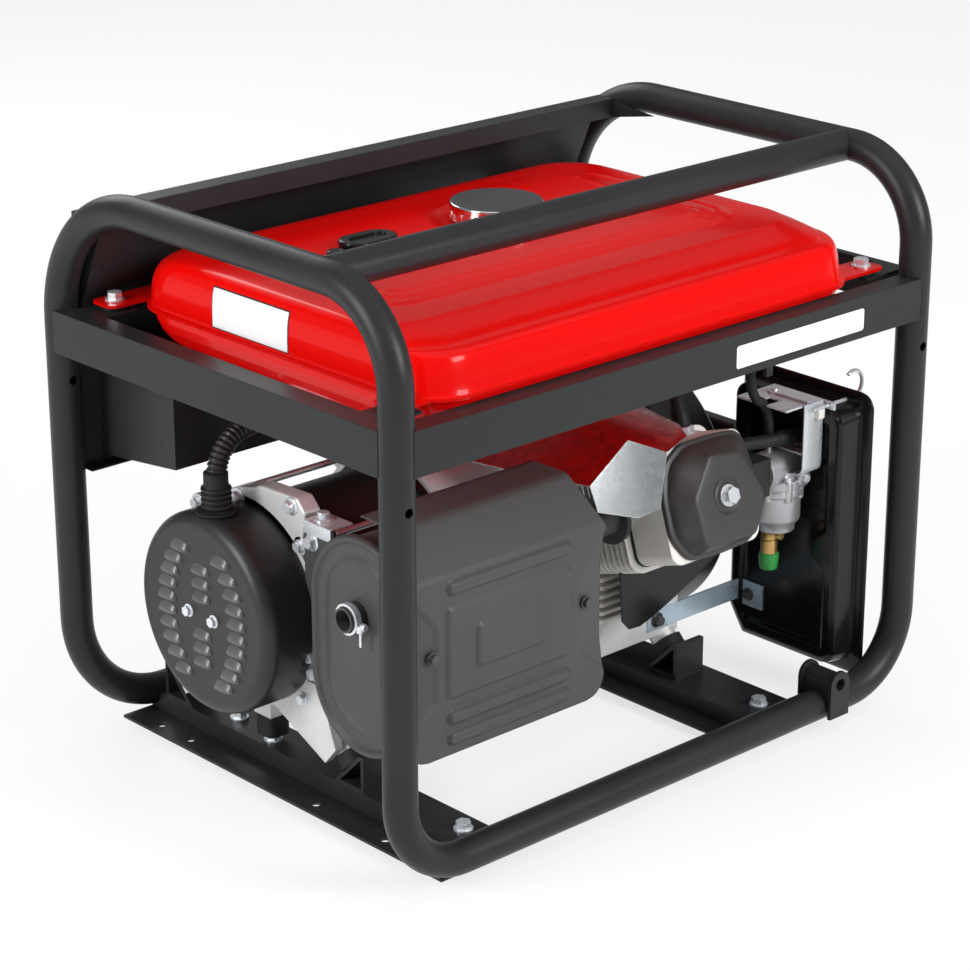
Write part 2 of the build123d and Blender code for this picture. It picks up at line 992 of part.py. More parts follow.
def seam_plate(z):
    """The seam flange with its four ears."""
    length = tank_length + 2 * seam_flange
    width = tank_back - tank_front + 2 * seam_flange
    plan = RectangleRounded(length, width, tank_corner + seam_flange)
    outline = Pos(tank_x, (tank_front + tank_back) / 2) * plan
    ear_end = tank_bolt_x + ear_width / 2
    for side in (-1, 1):
        ear_start = tank_length / 2 + side * tank_x - tank_corner
        for y in (-tank_bolt_y, tank_bolt_y):
            ear = RectangleRounded(ear_end - ear_start, ear_width, ear_corner)
            outline += Pos(side * (ear_start + ear_end) / 2, y) * ear
    plate = extrude(Pos(0, 0, z) * outline, tank_sheet)
    for x, y, level in tank_bolt_points(z):
        plate -= rod((x, y, level - tank_sheet), (x, y, level + 2 * tank_sheet), tank_bolt_hole_d)
    return plate


def tank_upper_shell():
    """Domed shell with the filler neck and the gauge hole."""
    shell = seam_plate(seam_mid) + tank_dome(0)
    shell -= tank_dome(tank_sheet)
    neck_low = crown_z - neck_depth
    shell += rod((cap_x, cap_y, neck_low), (cap_x, cap_y, neck_top), neck_d)
    shell -= rod((cap_x, cap_y, neck_low), (cap_x, cap_y, neck_top), neck_d - 2 * neck_wall)
    clear = sender_d + 2 * cap_gap
    shell -= rod((gauge_x, gauge_y, seam_mid), (gauge_x, gauge_y, crown_z + neck_rise), clear)
    return shell


def tank_lower_shell():
    """Pan-shaped shell with the hole for the fuel cock."""
    shell = seam_plate(seam_low) + tank_pan(0)
    shell -= tank_pan(tank_sheet)
    shell -= block((-tank_length, tank_length), (2 * tank_front, 2 * tank_back), (seam_mid, seam_top))
    shell -= rod((cock_x, cock_y, pan_z - tank_sheet), (cock_x, cock_y, pan_z + 2 * tank_sheet), cock_body_d)
    return shell


strainer_d = neck_d - 2 * neck_wall - 2 * cap_gap


def fuel_strainer():
    """A basket that hangs in the filler neck by its rim."""
    rim_top = neck_top + strainer_rim
    low = neck_top - strainer_depth
    basket = rod((cap_x, cap_y, low), (cap_x, cap_y, neck_top), strainer_d)
    basket += rod((cap_x, cap_y, neck_top), (cap_x, cap_y, rim_top), neck_d)
    inside_d = strainer_d - 2 * strainer_wall
    return basket - rod((cap_x, cap_y, low + strainer_wall), (cap_x, cap_y, rim_top), inside_d)


cap_low = crown_z + strainer_rim
cap_seat = neck_top + strainer_rim + cap_gap
cap_top = cap_seat + cap_height - neck_rise + cap_wall


def fuel_cap():
    """A notched round cap over the neck."""
    cap = rod((cap_x, cap_y, cap_low), (cap_x, cap_y, cap_top), cap_d)
    cap = fillet(cap.edges().group_by(Axis.Z)[-1], cap_wall / 2)
    cap -= rod((cap_x, cap_y, cap_low), (cap_x, cap_y, cap_seat), cap_d - 2 * cap_wall)
    for index in range(cap_notches):
        turn = radians(360 * index / cap_notches)
        x = cap_x + (cap_d / 2 + cap_notch_out) * cos(turn)
        y = cap_y + (cap_d / 2 + cap_notch_out) * sin(turn)
        cap -= rod((x, y, cap_low), (x, y, cap_seat), cap_notch_d)
    return cap


def fuel_gauge():
    """The oval gauge with its sender tube, and the small round vent beside it."""
    top = crown_z + gauge_height
    body = extrude(Pos(gauge_x, gauge_y, crown_z) * SlotOverall(gauge_length, gauge_width), gauge_height)
    body = fillet(body.edges().group_by(Axis.Z)[-1], gauge_window)
    window = SlotOverall(gauge_window_length, gauge_window_width)
    body -= extrude(Pos(gauge_x, gauge_y, top - gauge_window) * window, gauge_window)
    body += rod((gauge_x, gauge_y, seam_mid - sender_below_seam), (gauge_x, gauge_y, crown_z), sender_d)
    vent = rod((vent_x, vent_y, crown_z), (vent_x, vent_y, crown_z + vent_height), vent_d)
    return group(body, fillet(vent.edges().group_by(Axis.Z)[-1], vent_edge))


cock_boss_z = pan_z - cock_boss_drop
cock_boss_end = cock_y - cock_boss_reach
cock_low = pan_z - cock_length


def fuel_cock():
    """The tap body under the tank with a boss for its lever and a hose nipple."""
    tap = rod((cock_x, cock_y, pan_z - cock_flange_height), (cock_x, cock_y, pan_z), cock_flange_d)
    tap += rod((cock_x, cock_y, cock_low), (cock_x, cock_y, pan_z), cock_body_d)
    tap += rod((cock_x, cock_y, cock_boss_z), (cock_x, cock_boss_end, cock_boss_z), cock_boss_d)
    tap += rod((cock_x, cock_y, cock_low - nipple_length), (cock_x, cock_y, cock_low), nipple_d)
    return tap


def fuel_cock_lever():
    """The flat turning lever on the tap's boss."""
    near = cock_boss_end - lever_gap
    far = near - lever_thickness
    lever = rod((cock_x, near, cock_boss_z), (cock_x, far, cock_boss_z), lever_hub_d)
    half = lever_width / 2
    lever += block((cock_x - half, cock_x + half), (far, near), (cock_boss_z - lever_length, cock_boss_z))
    return lever


inlet_x = carb_x - carb_length / 4
inlet_top = carb_z + carb_d / 2 + nipple_length


def fuel_hose():
    """The rubber hose from the tap's nipple to the carburettor's."""
    top = cock_low - nipple_length
    drop = top - inlet_top
    run = drop * hose_straight_share
    points = [
        (cock_x, cock_y, top),
        (cock_x, cock_y, top - run),
        (inlet_x, carb_y, inlet_top + run),
        (inlet_x, carb_y, inlet_top),
    ]
    path = FilletPolyline(*points, radius=run * hose_bend_share)
    return sweep(Plane(origin=points[0], z_dir=(0, 0, -1)) * Circle(hose_d / 2), path=path)


# Alternator

def long_bolt_places():
    """Y and Z of the four long bolts round the stator."""
    places = []
    for turn in quarter_turns:
        angle = radians(turn + long_bolt_turn)
        radius = long_bolt_circle / 2
        places.append((crank_y + radius * cos(angle), crank_z + radius * sin(angle)))
    return places


def bolt_ears(x_low, x_high):
    """Round ears for the long bolts on a casting."""
    return [rod((x_low, y, z), (x_high, y, z), ear_d) for y, z in long_bolt_places()]


def drill_ears(shape, x_low, x_high):
    """Drill the long bolt holes through a casting."""
    for y, z in long_bolt_places():
        shape -= rod((x_low, y, z), (x_high, y, z), long_bolt_d + 2 * weld_gap)
    return shape


def louvre_places():
    """Y and Z offsets of the louvres: two curved columns and a short one above and below."""
    places = []
    reach = louvre_pitch * louvre_rows / 2 + louvre_pitch / 2
    for row in range(louvre_rows):
        dz = louvre_pitch * (row - (louvre_rows - 1) / 2)
        dy = louvre_spread * sqrt(1 - (dz / reach) ** 2)
        places.extend([(-dy, dz), (dy, dz)])
    for row in range(louvre_centre_rows):
        dz = cover_screw_spread + louvre_pitch * row
        places.extend([(0, dz), (0, -dz)])
    return places


def alternator_end_cover():
    """A deep round cover with a rolled edge and rows of louvre slots."""
    cover = crank_rod(cover_x, bracket_x, cover_d)
    cover = fillet(cover.edges().group_by(Axis.X)[0], cover_edge)
    inside = crank_rod(cover_x + cover_wall, bracket_x, cover_d - 2 * cover_wall)
    cover -= fillet(inside.edges().group_by(Axis.X)[0], cover_edge - cover_wall)
    half_w = louvre_width / 2
    half_h = louvre_height / 2
    ends = (cover_x - cover_wall, cover_x + 2 * cover_wall)
    for dy, dz in louvre_places():
        y = crank_y + dy
        z = crank_z + dz
        cover -= block(ends, (y - half_w, y + half_w), (z - half_h, z + half_h))
    for side in (-1, 1):
        y = crank_y + side * cover_screw_spread
        cover -= rod((ends[0], y, crank_z), (ends[1], y, crank_z), screw_shank_d + 2 * weld_gap)
    return cover


bearing_x = bracket_x + bracket_disc


def rear_end_bracket():
    """The cast end bracket: bearing hub, rim, bolt ears and legs down to the mounts."""
    casting = crank_rod(bracket_x, bracket_x + bracket_disc, bracket_d)
    casting += crank_pipe(bracket_x, stator_x, bracket_d, bracket_d - 2 * bracket_wall)
    casting += crank_rod(bracket_x, bearing_x + rotor_bearing_width, hub_d)
    for ear in bolt_ears(bracket_x, stator_x):
        casting += ear
    leg_x = (bracket_x, bracket_x + bracket_depth)
    for place in mount_places()[:2]:
        foot = mount_point(place, mount_rubber)
        shoulder = mount_point(place, mount_rubber + bracket_leg)
        leg = rod(foot, shoulder, mount_boss_d)
        casting += leg & block(leg_x, (-base_half, base_half), (0, top_z))
        facing = place[2]
        rim = bracket_d / 2 - bracket_wall / 2
        upper = radians(leg_web_upper)
        lower = radians(leg_web_lower)
        web = [
            (foot[1] + facing * leg_web_out, foot[2] - leg_web_drop),
            (foot[1] - facing * leg_web_in, foot[2] + leg_web_out),
            (crank_y - facing * rim * cos(upper), crank_z - rim * sin(upper)),
            (crank_y - facing * rim * cos(lower), crank_z - rim * sin(lower)),
        ]
        casting += side_plate(web, bracket_x, bracket_x + bracket_disc)
    half = buffer_size / 2
    ys = (crank_y - half, crank_y + half)
    post = block((left_mount_x - half, left_mount_x + half), ys, (buffer_top, crank_z - buffer_post_reach))
    casting += post & block(leg_x, ys, (0, top_z))
    casting -= crank_rod(bracket_x, bearing_x, rotor_bearing_bore + 2 * shaft_clear)
    casting -= crank_rod(bearing_x, stator_x, rotor_bearing_d)
    casting -= crank_pipe(bracket_x + bracket_disc, stator_x, bracket_d - 2 * bracket_wall, hub_d)
    for turn in quarter_turns:
        angle = radians(turn)
        radius = (hub_d + bracket_d - 2 * bracket_wall) / 4
        y = crank_y + radius * cos(angle)
        z = crank_z + radius * sin(angle)
        casting -= rod((bracket_x, y, z), (bearing_x, y, z), bracket_hole_d)
    return drill_ears(casting, bracket_x, stator_x)


def stator_core():
    """The laminated ring between the two end brackets."""
    return crank_pipe(stator_x, drive_x, stator_d, stator_bore)


def stator_windings():
    """The wound end turns that stand out of both ends of the core."""
    outer = stator_bore + 2 * winding_wall
    rear = crank_pipe(stator_x - winding_length, stator_x, outer, stator_bore + 2 * air_gap)
    drive = crank_pipe(drive_x, drive_x + winding_length, outer, stator_bore + 2 * air_gap)
    ends = []
    for ring in (rear, drive):
        ends.append(fillet(ring.edges().filter_by(GeomType.CIRCLE), winding_edge))
    return group(*ends)


def drive_end_bracket():
    """The vented bell between the stator and the engine."""
    bell = crank_pipe(drive_x, case_cover_x, bracket_d, bracket_d - 2 * drive_wall)
    bell += crank_pipe(case_cover_x - drive_flange, case_cover_x, bracket_d + drive_flange,
                       bracket_d - 2 * drive_flange)
    for ear in bolt_ears(drive_x, drive_x + drive_flange):
        bell += ear
    bell -= crank_rod(drive_x, case_cover_x - drive_flange, bracket_d - 2 * drive_wall)
    middle = (drive_x + case_cover_x) / 2
    for index in range(drive_windows):
        turn = 180 * (2 * index + 1) / drive_windows
        window = Box(window_length, bracket_d, window_width)
        window = Pos(middle, crank_y, crank_z) * Rot(turn, 0, 0) * Pos(0, bracket_d / 2, 0) * window
        bell -= window
    return drill_ears(bell, drive_x, drive_x + drive_flange)


rotor_end = case_cover_x - rotor_end_gap
fan_disc_x = drive_x + winding_length + rotor_fan_blade + rotor_fan_gap


def rotor():
    """Field core, shaft, slip rings and cooling fan, all turning together."""
    core_d = stator_bore - 2 * air_gap
    ring_end = bracket_x - slip_ring_gap
    ring_start = ring_end - slip_ring_width
    turning = crank_rod(stator_x + rotor_core_inset, drive_x - rotor_core_inset, core_d)
    turning += crank_rod(bearing_x + rotor_bearing_width, drive_x, rotor_shaft_d)
    turning += crank_rod(ring_start - slip_ring_tip, bearing_x + rotor_bearing_width,
                         rotor_bearing_bore - 2 * running_fit)
    turning += crank_rod(ring_start, ring_end, slip_ring_d)
    turning += crank_rod(drive_x - rotor_core_inset, rotor_end, rotor_sleeve_d)
    turning += crank_rod(fan_disc_x, fan_disc_x + rotor_fan_disc, rotor_fan_d)
    for index in range(rotor_fan_blades):
        turn = 360 * index / rotor_fan_blades
        height = (rotor_fan_d - rotor_sleeve_d) / 2 - 2 * rotor_blade_inset
        blade = Box(rotor_fan_blade, blade_thickness, height)
        lift = rotor_sleeve_d / 2 + height / 2 + rotor_blade_inset
        hub = Pos(fan_disc_x + rotor_fan_disc + rotor_fan_blade / 2, crank_y, crank_z)
        turning += hub * Rot(turn, 0, 0) * Pos(0, 0, lift) * blade
    turning -= crank_rod(rotor_end - crank_stub_length, rotor_end, crank_stub_d + 2 * running_fit)
    return turning


def voltage_regulator():
    """The regulator block screwed to the end bracket under the cover."""
    y = crank_y + regulator_offset
    ys = (y - regulator_width / 2, y + regulator_width / 2)
    zs = (crank_z - regulator_height / 2, crank_z + regulator_height / 2)
    body = block((bracket_x - regulator_depth, bracket_x), ys, zs)
    front = bracket_x - regulator_depth
    half = regulator_fin_gap / 2
    for index in range(regulator_fins):
        z = zs[0] + regulator_height * (2 * index + 1) / (2 * regulator_fins)
        body -= block((front, front + regulator_fin_depth), ys, (z - half, z + half))
    return body


bearing_two_x = case_x + case_length - bearing_wall
bearing_one_x = case_x - case_bearing_width


def bearings():
    """The rotor's rear ball bearing and the two main bearings of the crankshaft."""
    rear = crank_pipe(bearing_x, bearing_x + rotor_bearing_width, rotor_bearing_d - 2 * running_fit,
                      rotor_bearing_bore)
    mains = []
    for x in (bearing_one_x, bearing_two_x):
        mains.append(crank_pipe(x, x + case_bearing_width, case_bearing_d - 2 * running_fit, journal_d))
    return group(rear, *mains)


# Engine

def case_outline():
    """The crankcase seen along the crankshaft, with its face square to the cylinder."""
    lift = (case_top - tilt_sin * deck_reach) / tilt_cos
    upper = cylinder_point(deck_reach, lift)
    lower = cylinder_point(deck_reach, -barrel_half)
    floor = crank_z - case_bottom
    return [
        (case_front_y, floor),
        (case_back_y, floor),
        (case_back_y, crank_z + case_top - case_slope),
        (case_back_y - case_slope_width, crank_z + case_top),
        (upper[1], upper[2]),
        (lower[1], lower[2]),
        (case_front_y, floor + sump_height),
    ]


def case_boss(place):
    """A round foot from a mount's rubber into the crankcase."""
    return rod(mount_point(place, mount_rubber), mount_point(place, mount_rubber + case_boss_length),
               mount_boss_d)


def crankcase():
    """The block: crank chamber, finned barrel, mount feet and the post for the shroud."""
    casting = side_plate(case_outline(), case_x, fan_x)
    root = deck_reach - barrel_root
    barrel = extrude(cylinder_plane(root) * Circle(barrel_d / 2), barrel_reach - root)
    casting += barrel
    for index in range(fin_count):
        plane = cylinder_plane(fin_start + index * fin_pitch)
        casting += extrude(plane * RectangleRounded(fin_width, fin_height, fin_corner), fin_thickness)
    for place in mount_places()[2:]:
        casting += case_boss(place)
    casting += rod((post_x, post_y, crank_z), (post_x, post_y, deck + shroud_rise), post_d)
    casting -= crank_rod(case_x, bearing_two_x, chamber_d)
    casting -= crank_rod(bearing_two_x, bearing_two_x + case_bearing_width, case_bearing_d)
    casting -= crank_rod(bearing_two_x, fan_x, journal_d + 2 * shaft_clear)
    casting -= extrude(cylinder_plane(0) * Circle(bore_d / 2), barrel_reach)
    y = case_back_y
    z = crank_z - dipstick_drop
    casting -= rod((dipstick_x, y - dipstick_thread, z), (dipstick_x, y, z), dipstick_d + 2 * dipstick_gap)
    tip = y - dipstick_rod_length - dipstick_clear
    casting -= rod((dipstick_x, tip, z), (dipstick_x, y, z), dipstick_rod_d + dipstick_clear)
    return casting


def crankcase_cover():
    """The side cover that carries the first main bearing."""
    cover = side_plate(case_outline(), case_cover_x, case_x)
    cover -= crank_rod(bearing_one_x, case_x, case_bearing_d)
    return cover - crank_rod(case_cover_x, case_x, journal_d + 2 * shaft_clear)


web_left = cylinder_x - crank_pin_width / 2 - web_thickness
web_right = cylinder_x + crank_pin_width / 2 + web_thickness
flywheel_x = fan_x + flywheel_gap
crank_end = flywheel_x + flywheel_disc + flywheel_cup


def crankshaft():
    """Journals, two round webs, the crankpin at top dead centre and both shaft ends."""
    stub_start = rotor_end - crank_stub_length + crank_stub_gap
    journal_start = rotor_end + journal_gap
    shaft = crank_rod(stub_start, journal_start, crank_stub_d)
    journal = journal_d - 2 * running_fit
    shaft += crank_rod(journal_start, web_left, journal)
    shaft += crank_rod(web_right, flywheel_x, journal)
    shaft += crank_rod(flywheel_x, crank_end, crank_stub_d)
    shaft += crank_rod(web_left, web_left + web_thickness, web_d)
    shaft += crank_rod(web_right - web_thickness, web_right, web_d)
    pin = cylinder_point(crank_throw, 0)
    half = crank_pin_width / 2
    shaft += rod((cylinder_x - half, pin[1], pin[2]), (cylinder_x + half, pin[1], pin[2]), crank_pin_d)
    return shaft


piston_top = barrel_reach - piston_squish
piston_pin_reach = piston_top - piston_pin_drop


def piston_and_rod():
    """The piston at top dead centre and its rod, which stops clear of the turning crankpin."""
    piston_d = bore_d - 2 * piston_gap
    piston = extrude(cylinder_plane(piston_top - piston_height) * Circle(piston_d / 2), piston_height)
    hollow = extrude(cylinder_plane(piston_top - piston_height) * Circle(piston_d / 2 - piston_wall),
                     piston_height - piston_wall)
    piston -= hollow
    for index in range(ring_count):
        plane = cylinder_plane(piston_top - (index + 1) * ring_pitch)
        piston -= extrude(plane * (Circle(piston_d / 2) - Circle(piston_d / 2 - ring_groove)), ring_groove)
    pin = cylinder_point(piston_pin_reach, 0)
    half = piston_d / 2 - piston_wall / 2
    piston += rod((cylinder_x - half, pin[1], pin[2]), (cylinder_x + half, pin[1], pin[2]), piston_pin_d)
    side = rod_width / 2
    eye = rod((cylinder_x - side, pin[1], pin[2]), (cylinder_x + side, pin[1], pin[2]), rod_eye_d)
    big = cylinder_point(crank_throw, 0)
    end = rod((cylinder_x - side, big[1], big[2]), (cylinder_x + side, big[1], big[2]), rod_end_d)
    span = piston_pin_reach - crank_throw
    shank = extrude(cylinder_plane(crank_throw) * Rectangle(rod_width, rod_shank), span)
    link = eye + end + shank
    sweep_d = 2 * (crank_throw + crank_pin_d / 2 + piston_gap)
    link -= crank_rod(cylinder_x - rod_width, cylinder_x + rod_width, sweep_d)
    link -= rod((cylinder_x - rod_width, pin[1], pin[2]), (cylinder_x + rod_width, pin[1], pin[2]),
                piston_pin_d + 2 * running_fit)
    return group(piston, link)


def cylinder_head():
    """The head casting with its combustion chamber, port bosses, plug seat and cover bolt hole."""
    plan = RectangleRounded(head_width, head_height, head_corner)
    head = extrude(cylinder_plane(barrel_reach) * plan, head_length)
    port = cylinder_point(port_reach, 0)
    right = cylinder_x + head_width / 2
    head += rod((right - port_boss, port[1], port[2]), (right + port_boss, port[1], port[2]), port_boss_d)
    out = cylinder_point(exhaust_reach, 0)
    left = cylinder_x - head_width / 2
    head += rod((left + port_boss, out[1], out[2]), (left - port_boss, out[1], out[2]), exhaust_boss_d)
    head -= extrude(cylinder_plane(barrel_reach) * Circle(head_chamber_d / 2), head_chamber_depth)
    head -= rod((right - port_depth, port[1], port[2]), (right + port_boss, port[1], port[2]), carb_bore_d)
    head -= rod((left + port_depth, out[1], out[2]), (left - port_boss, out[1], out[2]),
                exhaust_d - 2 * exhaust_wall)
    seat = cylinder_point(plug_reach, head_height / 2, plug_x)
    deep = cylinder_point(plug_reach, head_height / 2 - plug_length, plug_x)
    head -= rod(deep, seat, plug_d + 2 * running_fit)
    thread = cylinder_point(head_reach - rocker_bolt_hold, 0)
    return head - rod(thread, cylinder_point(head_reach, 0), screw_shank_d + 2 * weld_gap)


def rocker_cover():
    """A pressed cover: flange, sloped sides and a six-sided raised middle."""
    flange = extrude(cylinder_plane(head_reach) * RectangleRounded(rocker_flange_width, rocker_flange_height,
                                                                   rocker_corner), rocker_flange)
    plan = RectangleRounded(rocker_width, rocker_height, rocker_corner)
    body = extrude(cylinder_plane(rocker_reach) * plan, rocker_depth, taper=rocker_taper)
    pad_plane = cylinder_plane(rocker_reach + rocker_depth)
    pad = extrude(pad_plane * RegularPolygon(rocker_pad_r, 6), rocker_pad_depth, taper=rocker_taper)
    inner = RectangleRounded(rocker_width - 2 * rocker_wall, rocker_height - 2 * rocker_wall,
                             rocker_corner - rocker_wall)
    cavity = extrude(cylinder_plane(head_reach) * inner, rocker_flange)
    cavity += extrude(cylinder_plane(rocker_reach) * inner, rocker_depth - rocker_wall, taper=rocker_taper)
    cover = flange + body + pad - cavity
    beyond = cylinder_point(rocker_reach + rocker_depth + 2 * rocker_pad_depth, 0)
    return cover - rod(cylinder_point(head_reach, 0), beyond, screw_shank_d + 2 * weld_gap)


def oil_dipstick():
    """The screw-in filler cap with its measuring stick."""
    y = case_back_y
    z = crank_z - dipstick_drop
    cap = rod((dipstick_x, y - dipstick_thread, z), (dipstick_x, y, z), dipstick_d)
    cap += rod((dipstick_x, y - dipstick_rod_length, z), (dipstick_x, y, z), dipstick_rod_d)
    far = y + dipstick_gap + dipstick_grip_length
    cap += rod((dipstick_x, y, z), (dipstick_x, y + dipstick_gap, z), dipstick_d)
    cap += rod((dipstick_x, y + dipstick_gap, z), (dipstick_x, far, z), dipstick_grip_d)
    half = dipstick_grip_d / 2
    for side in (-1, 1):
        low, high = sorted((side * half, side * dipstick_blade / 2))
        ys = (y + dipstick_grip_length / 2, far)
        cap -= block((dipstick_x - half, dipstick_x + half), ys, (z + low, z + high))
    return cap


# Flywheel, fan housing and recoil starter

def flywheel():
    """A heavy disc with fan blades and the starter cup, fixed on the crankshaft."""
    hub = crank_stub_d + 2 * running_fit
    blade_x = flywheel_x + flywheel_disc
    wheel = crank_rod(flywheel_x, blade_x, flywheel_d)
    wheel += crank_rod(blade_x, blade_x + flywheel_cup, flywheel_cup_d)
    for index in range(flywheel_blades):
        turn = 360 * index / flywheel_blades
        height = (flywheel_d - flywheel_cup_d) / 2 - flywheel_blade_inner - flywheel_blade_outer
        lift = flywheel_cup_d / 2 + flywheel_blade_inner + height / 2
        blade = Box(flywheel_blade, blade_thickness, height)
        middle = Pos(blade_x + flywheel_blade / 2, crank_y, crank_z)
        wheel += middle * Rot(turn, 0, 0) * Pos(0, 0, lift) * blade
    cup_end = blade_x + flywheel_cup
    wheel -= crank_rod(blade_x + flywheel_cup / 2, cup_end, flywheel_cup_d - 2 * flywheel_cup_wall)
    return wheel - crank_rod(flywheel_x, cup_end, hub)


def fan_housing():
    """A wide drum over the flywheel, open towards the cylinder."""
    drum = crank_rod(fan_x, recoil_x, fan_d)
    drum = fillet(drum.edges().group_by(Axis.X)[-1], fan_edge)
    inside = crank_rod(fan_x + fan_wall, recoil_x - fan_wall, fan_d - 2 * fan_wall)
    drum -= fillet(inside.edges().group_by(Axis.X)[-1], fan_edge - fan_wall)
    drum -= crank_rod(fan_x, fan_x + fan_wall, fan_d - 2 * fan_back_ring)
    return drum - crank_rod(recoil_x - 2 * fan_wall, recoil_x, fan_mouth_d)


rope_y = crank_y + grip_offset_y
rope_z = crank_z + grip_offset_z
reel_x = recoil_end - recoil_wall - reel_gap - reel_width


def recoil_housing():
    """The starter's dished cover with air slots, a rope hole and the reel's post."""
    dish = crank_rod(recoil_x, recoil_end, recoil_d)
    dish = fillet(dish.edges().group_by(Axis.X)[-1], recoil_edge)
    inside = crank_rod(recoil_x, recoil_end - recoil_wall, recoil_d - 2 * recoil_wall)
    dish -= fillet(inside.edges().group_by(Axis.X)[-1], recoil_edge - recoil_wall)
    flange_d = recoil_d + 2 * recoil_flange
    dish += crank_pipe(recoil_x, recoil_x + recoil_wall, flange_d, recoil_d - 2 * recoil_wall)
    for index in range(recoil_slots):
        turn = 180 * (2 * index + 1) / recoil_slots
        slot = Box(recoil_wall * 4, recoil_slot_width, recoil_slot_length)
        lift = recoil_d / 2 - recoil_edge - recoil_slot_length / 2
        placed = Pos(recoil_end, crank_y, crank_z) * Rot(turn, 0, 0) * Pos(0, 0, lift) * slot
        dish -= placed
    dish += crank_rod(reel_x - reel_gap, recoil_end - recoil_wall, post_pin_d)
    face = (recoil_end, rope_y, rope_z)
    dish += rod((recoil_end - recoil_wall, rope_y, rope_z), face, rope_guide_d)
    return dish - rod((recoil_end - 2 * recoil_wall, rope_y, rope_z), face, rope_hole_d)


def recoil_reel():
    """The rope reel on its post, with the rope wound in its groove."""
    reel = crank_pipe(reel_x, reel_x + reel_width, reel_d, post_pin_d + 2 * running_fit)
    start = reel_x + (reel_width - reel_groove) / 2
    return reel - crank_pipe(start, start + reel_groove, reel_d, reel_rope_d)


def recoil_handle():
    """The pull grip with its stem and the rope's end."""
    seat = recoil_end + grip_gap
    bar_x = seat + grip_stem + grip_d / 2
    half = grip_length / 2
    bar = rod((bar_x, rope_y - half, rope_z), (bar_x, rope_y + half, rope_z), grip_d)
    bar = fillet(bar.edges().filter_by(GeomType.CIRCLE), grip_edge)
    bar += rod((seat, rope_y, rope_z), (bar_x, rope_y, rope_z), grip_stem_d)
    return bar + rod((seat - rope_tail, rope_y, rope_z), (seat, rope_y, rope_z), rope_d)


shroud_z = deck + shroud_rise


def cylinder_shroud():
    """A bent sheet: a flat top over the cylinder and a front face left of and above the head."""
    top = block((shroud_left, shroud_right), (shroud_front, shroud_back), (shroud_z, shroud_z + shroud_sheet))
    head_left = cylinder_x - head_width / 2 - shroud_head_gap
    top_reach = (crank_y - shroud_front) / tilt_cos
    head_top = cylinder_point(top_reach, head_height / 2 + tilt_sin * head_height / 2)[2] + shroud_head_clear
    lip_low = max(head_top, shroud_z - shroud_lip)
    level = shroud_z + shroud_sheet
    outline = [
        (shroud_left, level),
        (shroud_right, level),
        (shroud_right, lip_low),
        (head_left, lip_low),
        (head_left, crank_z + shroud_inner_rise),
        (head_left - shroud_tongue_width, crank_z + shroud_tongue_rise),
        (shroud_left + shroud_outer_inset, crank_z + shroud_outer_rise),
    ]
    face = front_plate(polygon(outline), shroud_front - shroud_sheet, shroud_front)
    return top + face


# Carburettor, control bracket and air cleaner

def carburettor():
    """Insulator block, throttle body with its fuel inlet, float bowl, drain and drain cap."""
    right = cylinder_x + head_width / 2
    port = cylinder_point(port_reach, 0)
    joint_x = right + port_boss
    flange_end = joint_x + block_gap
    half = block_width / 2
    zs = (carb_z - block_height / 2, carb_z + block_height / 2)
    spacer = rod((joint_x, port[1], port[2]), (flange_end, port[1], port[2]), block_neck_d)
    spacer += block((flange_end, carb_left), (port[1] - half, port[1] + block_back), zs)
    spacer -= rod((joint_x, port[1], port[2]), (carb_left, port[1], port[2]), carb_bore_d)
    right_end = carb_x + carb_length / 2
    body = rod((carb_left, carb_y, carb_z), (right_end, carb_y, carb_z), carb_d)
    rim_top = carb_z - carb_d / 2 + bowl_rim
    body += rod((carb_x, carb_y, rim_top - 2 * bowl_rim), (carb_x, carb_y, carb_z), bowl_rim_d)
    body += rod((inlet_x, carb_y, carb_z), (inlet_x, carb_y, inlet_top), nipple_d)
    body -= rod((carb_left, carb_y, carb_z), (right_end, carb_y, carb_z), carb_bore_d)
    bowl_top = rim_top - 2 * bowl_rim
    bowl_low = bowl_top - bowl_height
    bowl = rod((carb_x, carb_y, bowl_low), (carb_x, carb_y, bowl_top), bowl_d)
    bowl = fillet(bowl.edges().group_by(Axis.Z)[0], bowl_edge)
    drain_x = carb_x + drain_offset
    drain_low = bowl_low - drain_length
    drain = rod((drain_x, carb_y, drain_low), (drain_x, carb_y, bowl_low), drain_d)
    cap = rod((drain_x, carb_y, drain_low - drain_cap), (drain_x, carb_y, drain_low), drain_cap_d)
    cap = fillet(cap.edges().group_by(Axis.Z)[0], drain_cap_edge)
    return group(spacer, body, bowl, drain, cap)


air_low = deck + air_bottom_rise
air_high = deck + air_top_rise


def air_outline(grow):
    """The air cleaner seen from its end, with its lower back corner cut off."""
    points = [
        (air_front - grow, air_low - grow),
        (air_back - air_cut + grow, air_low - grow),
        (air_back + grow, air_low + air_cut_height - grow),
        (air_back + grow, air_high + grow),
        (air_front - grow, air_high + grow),
    ]
    face = make_face(Polyline(*points, close=True))
    return fillet(face.vertices(), air_corner + grow)


def air_slab(grow, x_low, x_high):
    """A slice of the air cleaner's outline."""
    return extrude(Plane.YZ.offset(x_low) * air_outline(grow), x_high - x_low)


air_joint = air_box_x + air_base_depth
air_end = air_joint + air_cover_depth


def air_cleaner_base():
    """The tray on the carburettor's side, with the inlet hole."""
    tray = air_slab(0, air_box_x, air_joint) - air_slab(-air_wall, air_box_x + air_wall, air_joint)
    rim_x = (air_joint - air_rim, air_joint)
    tray += air_slab(air_rim, *rim_x) - air_slab(-air_wall, *rim_x)
    return tray - rod((air_box_x, carb_y, carb_z), (air_joint, carb_y, carb_z), carb_bore_d)


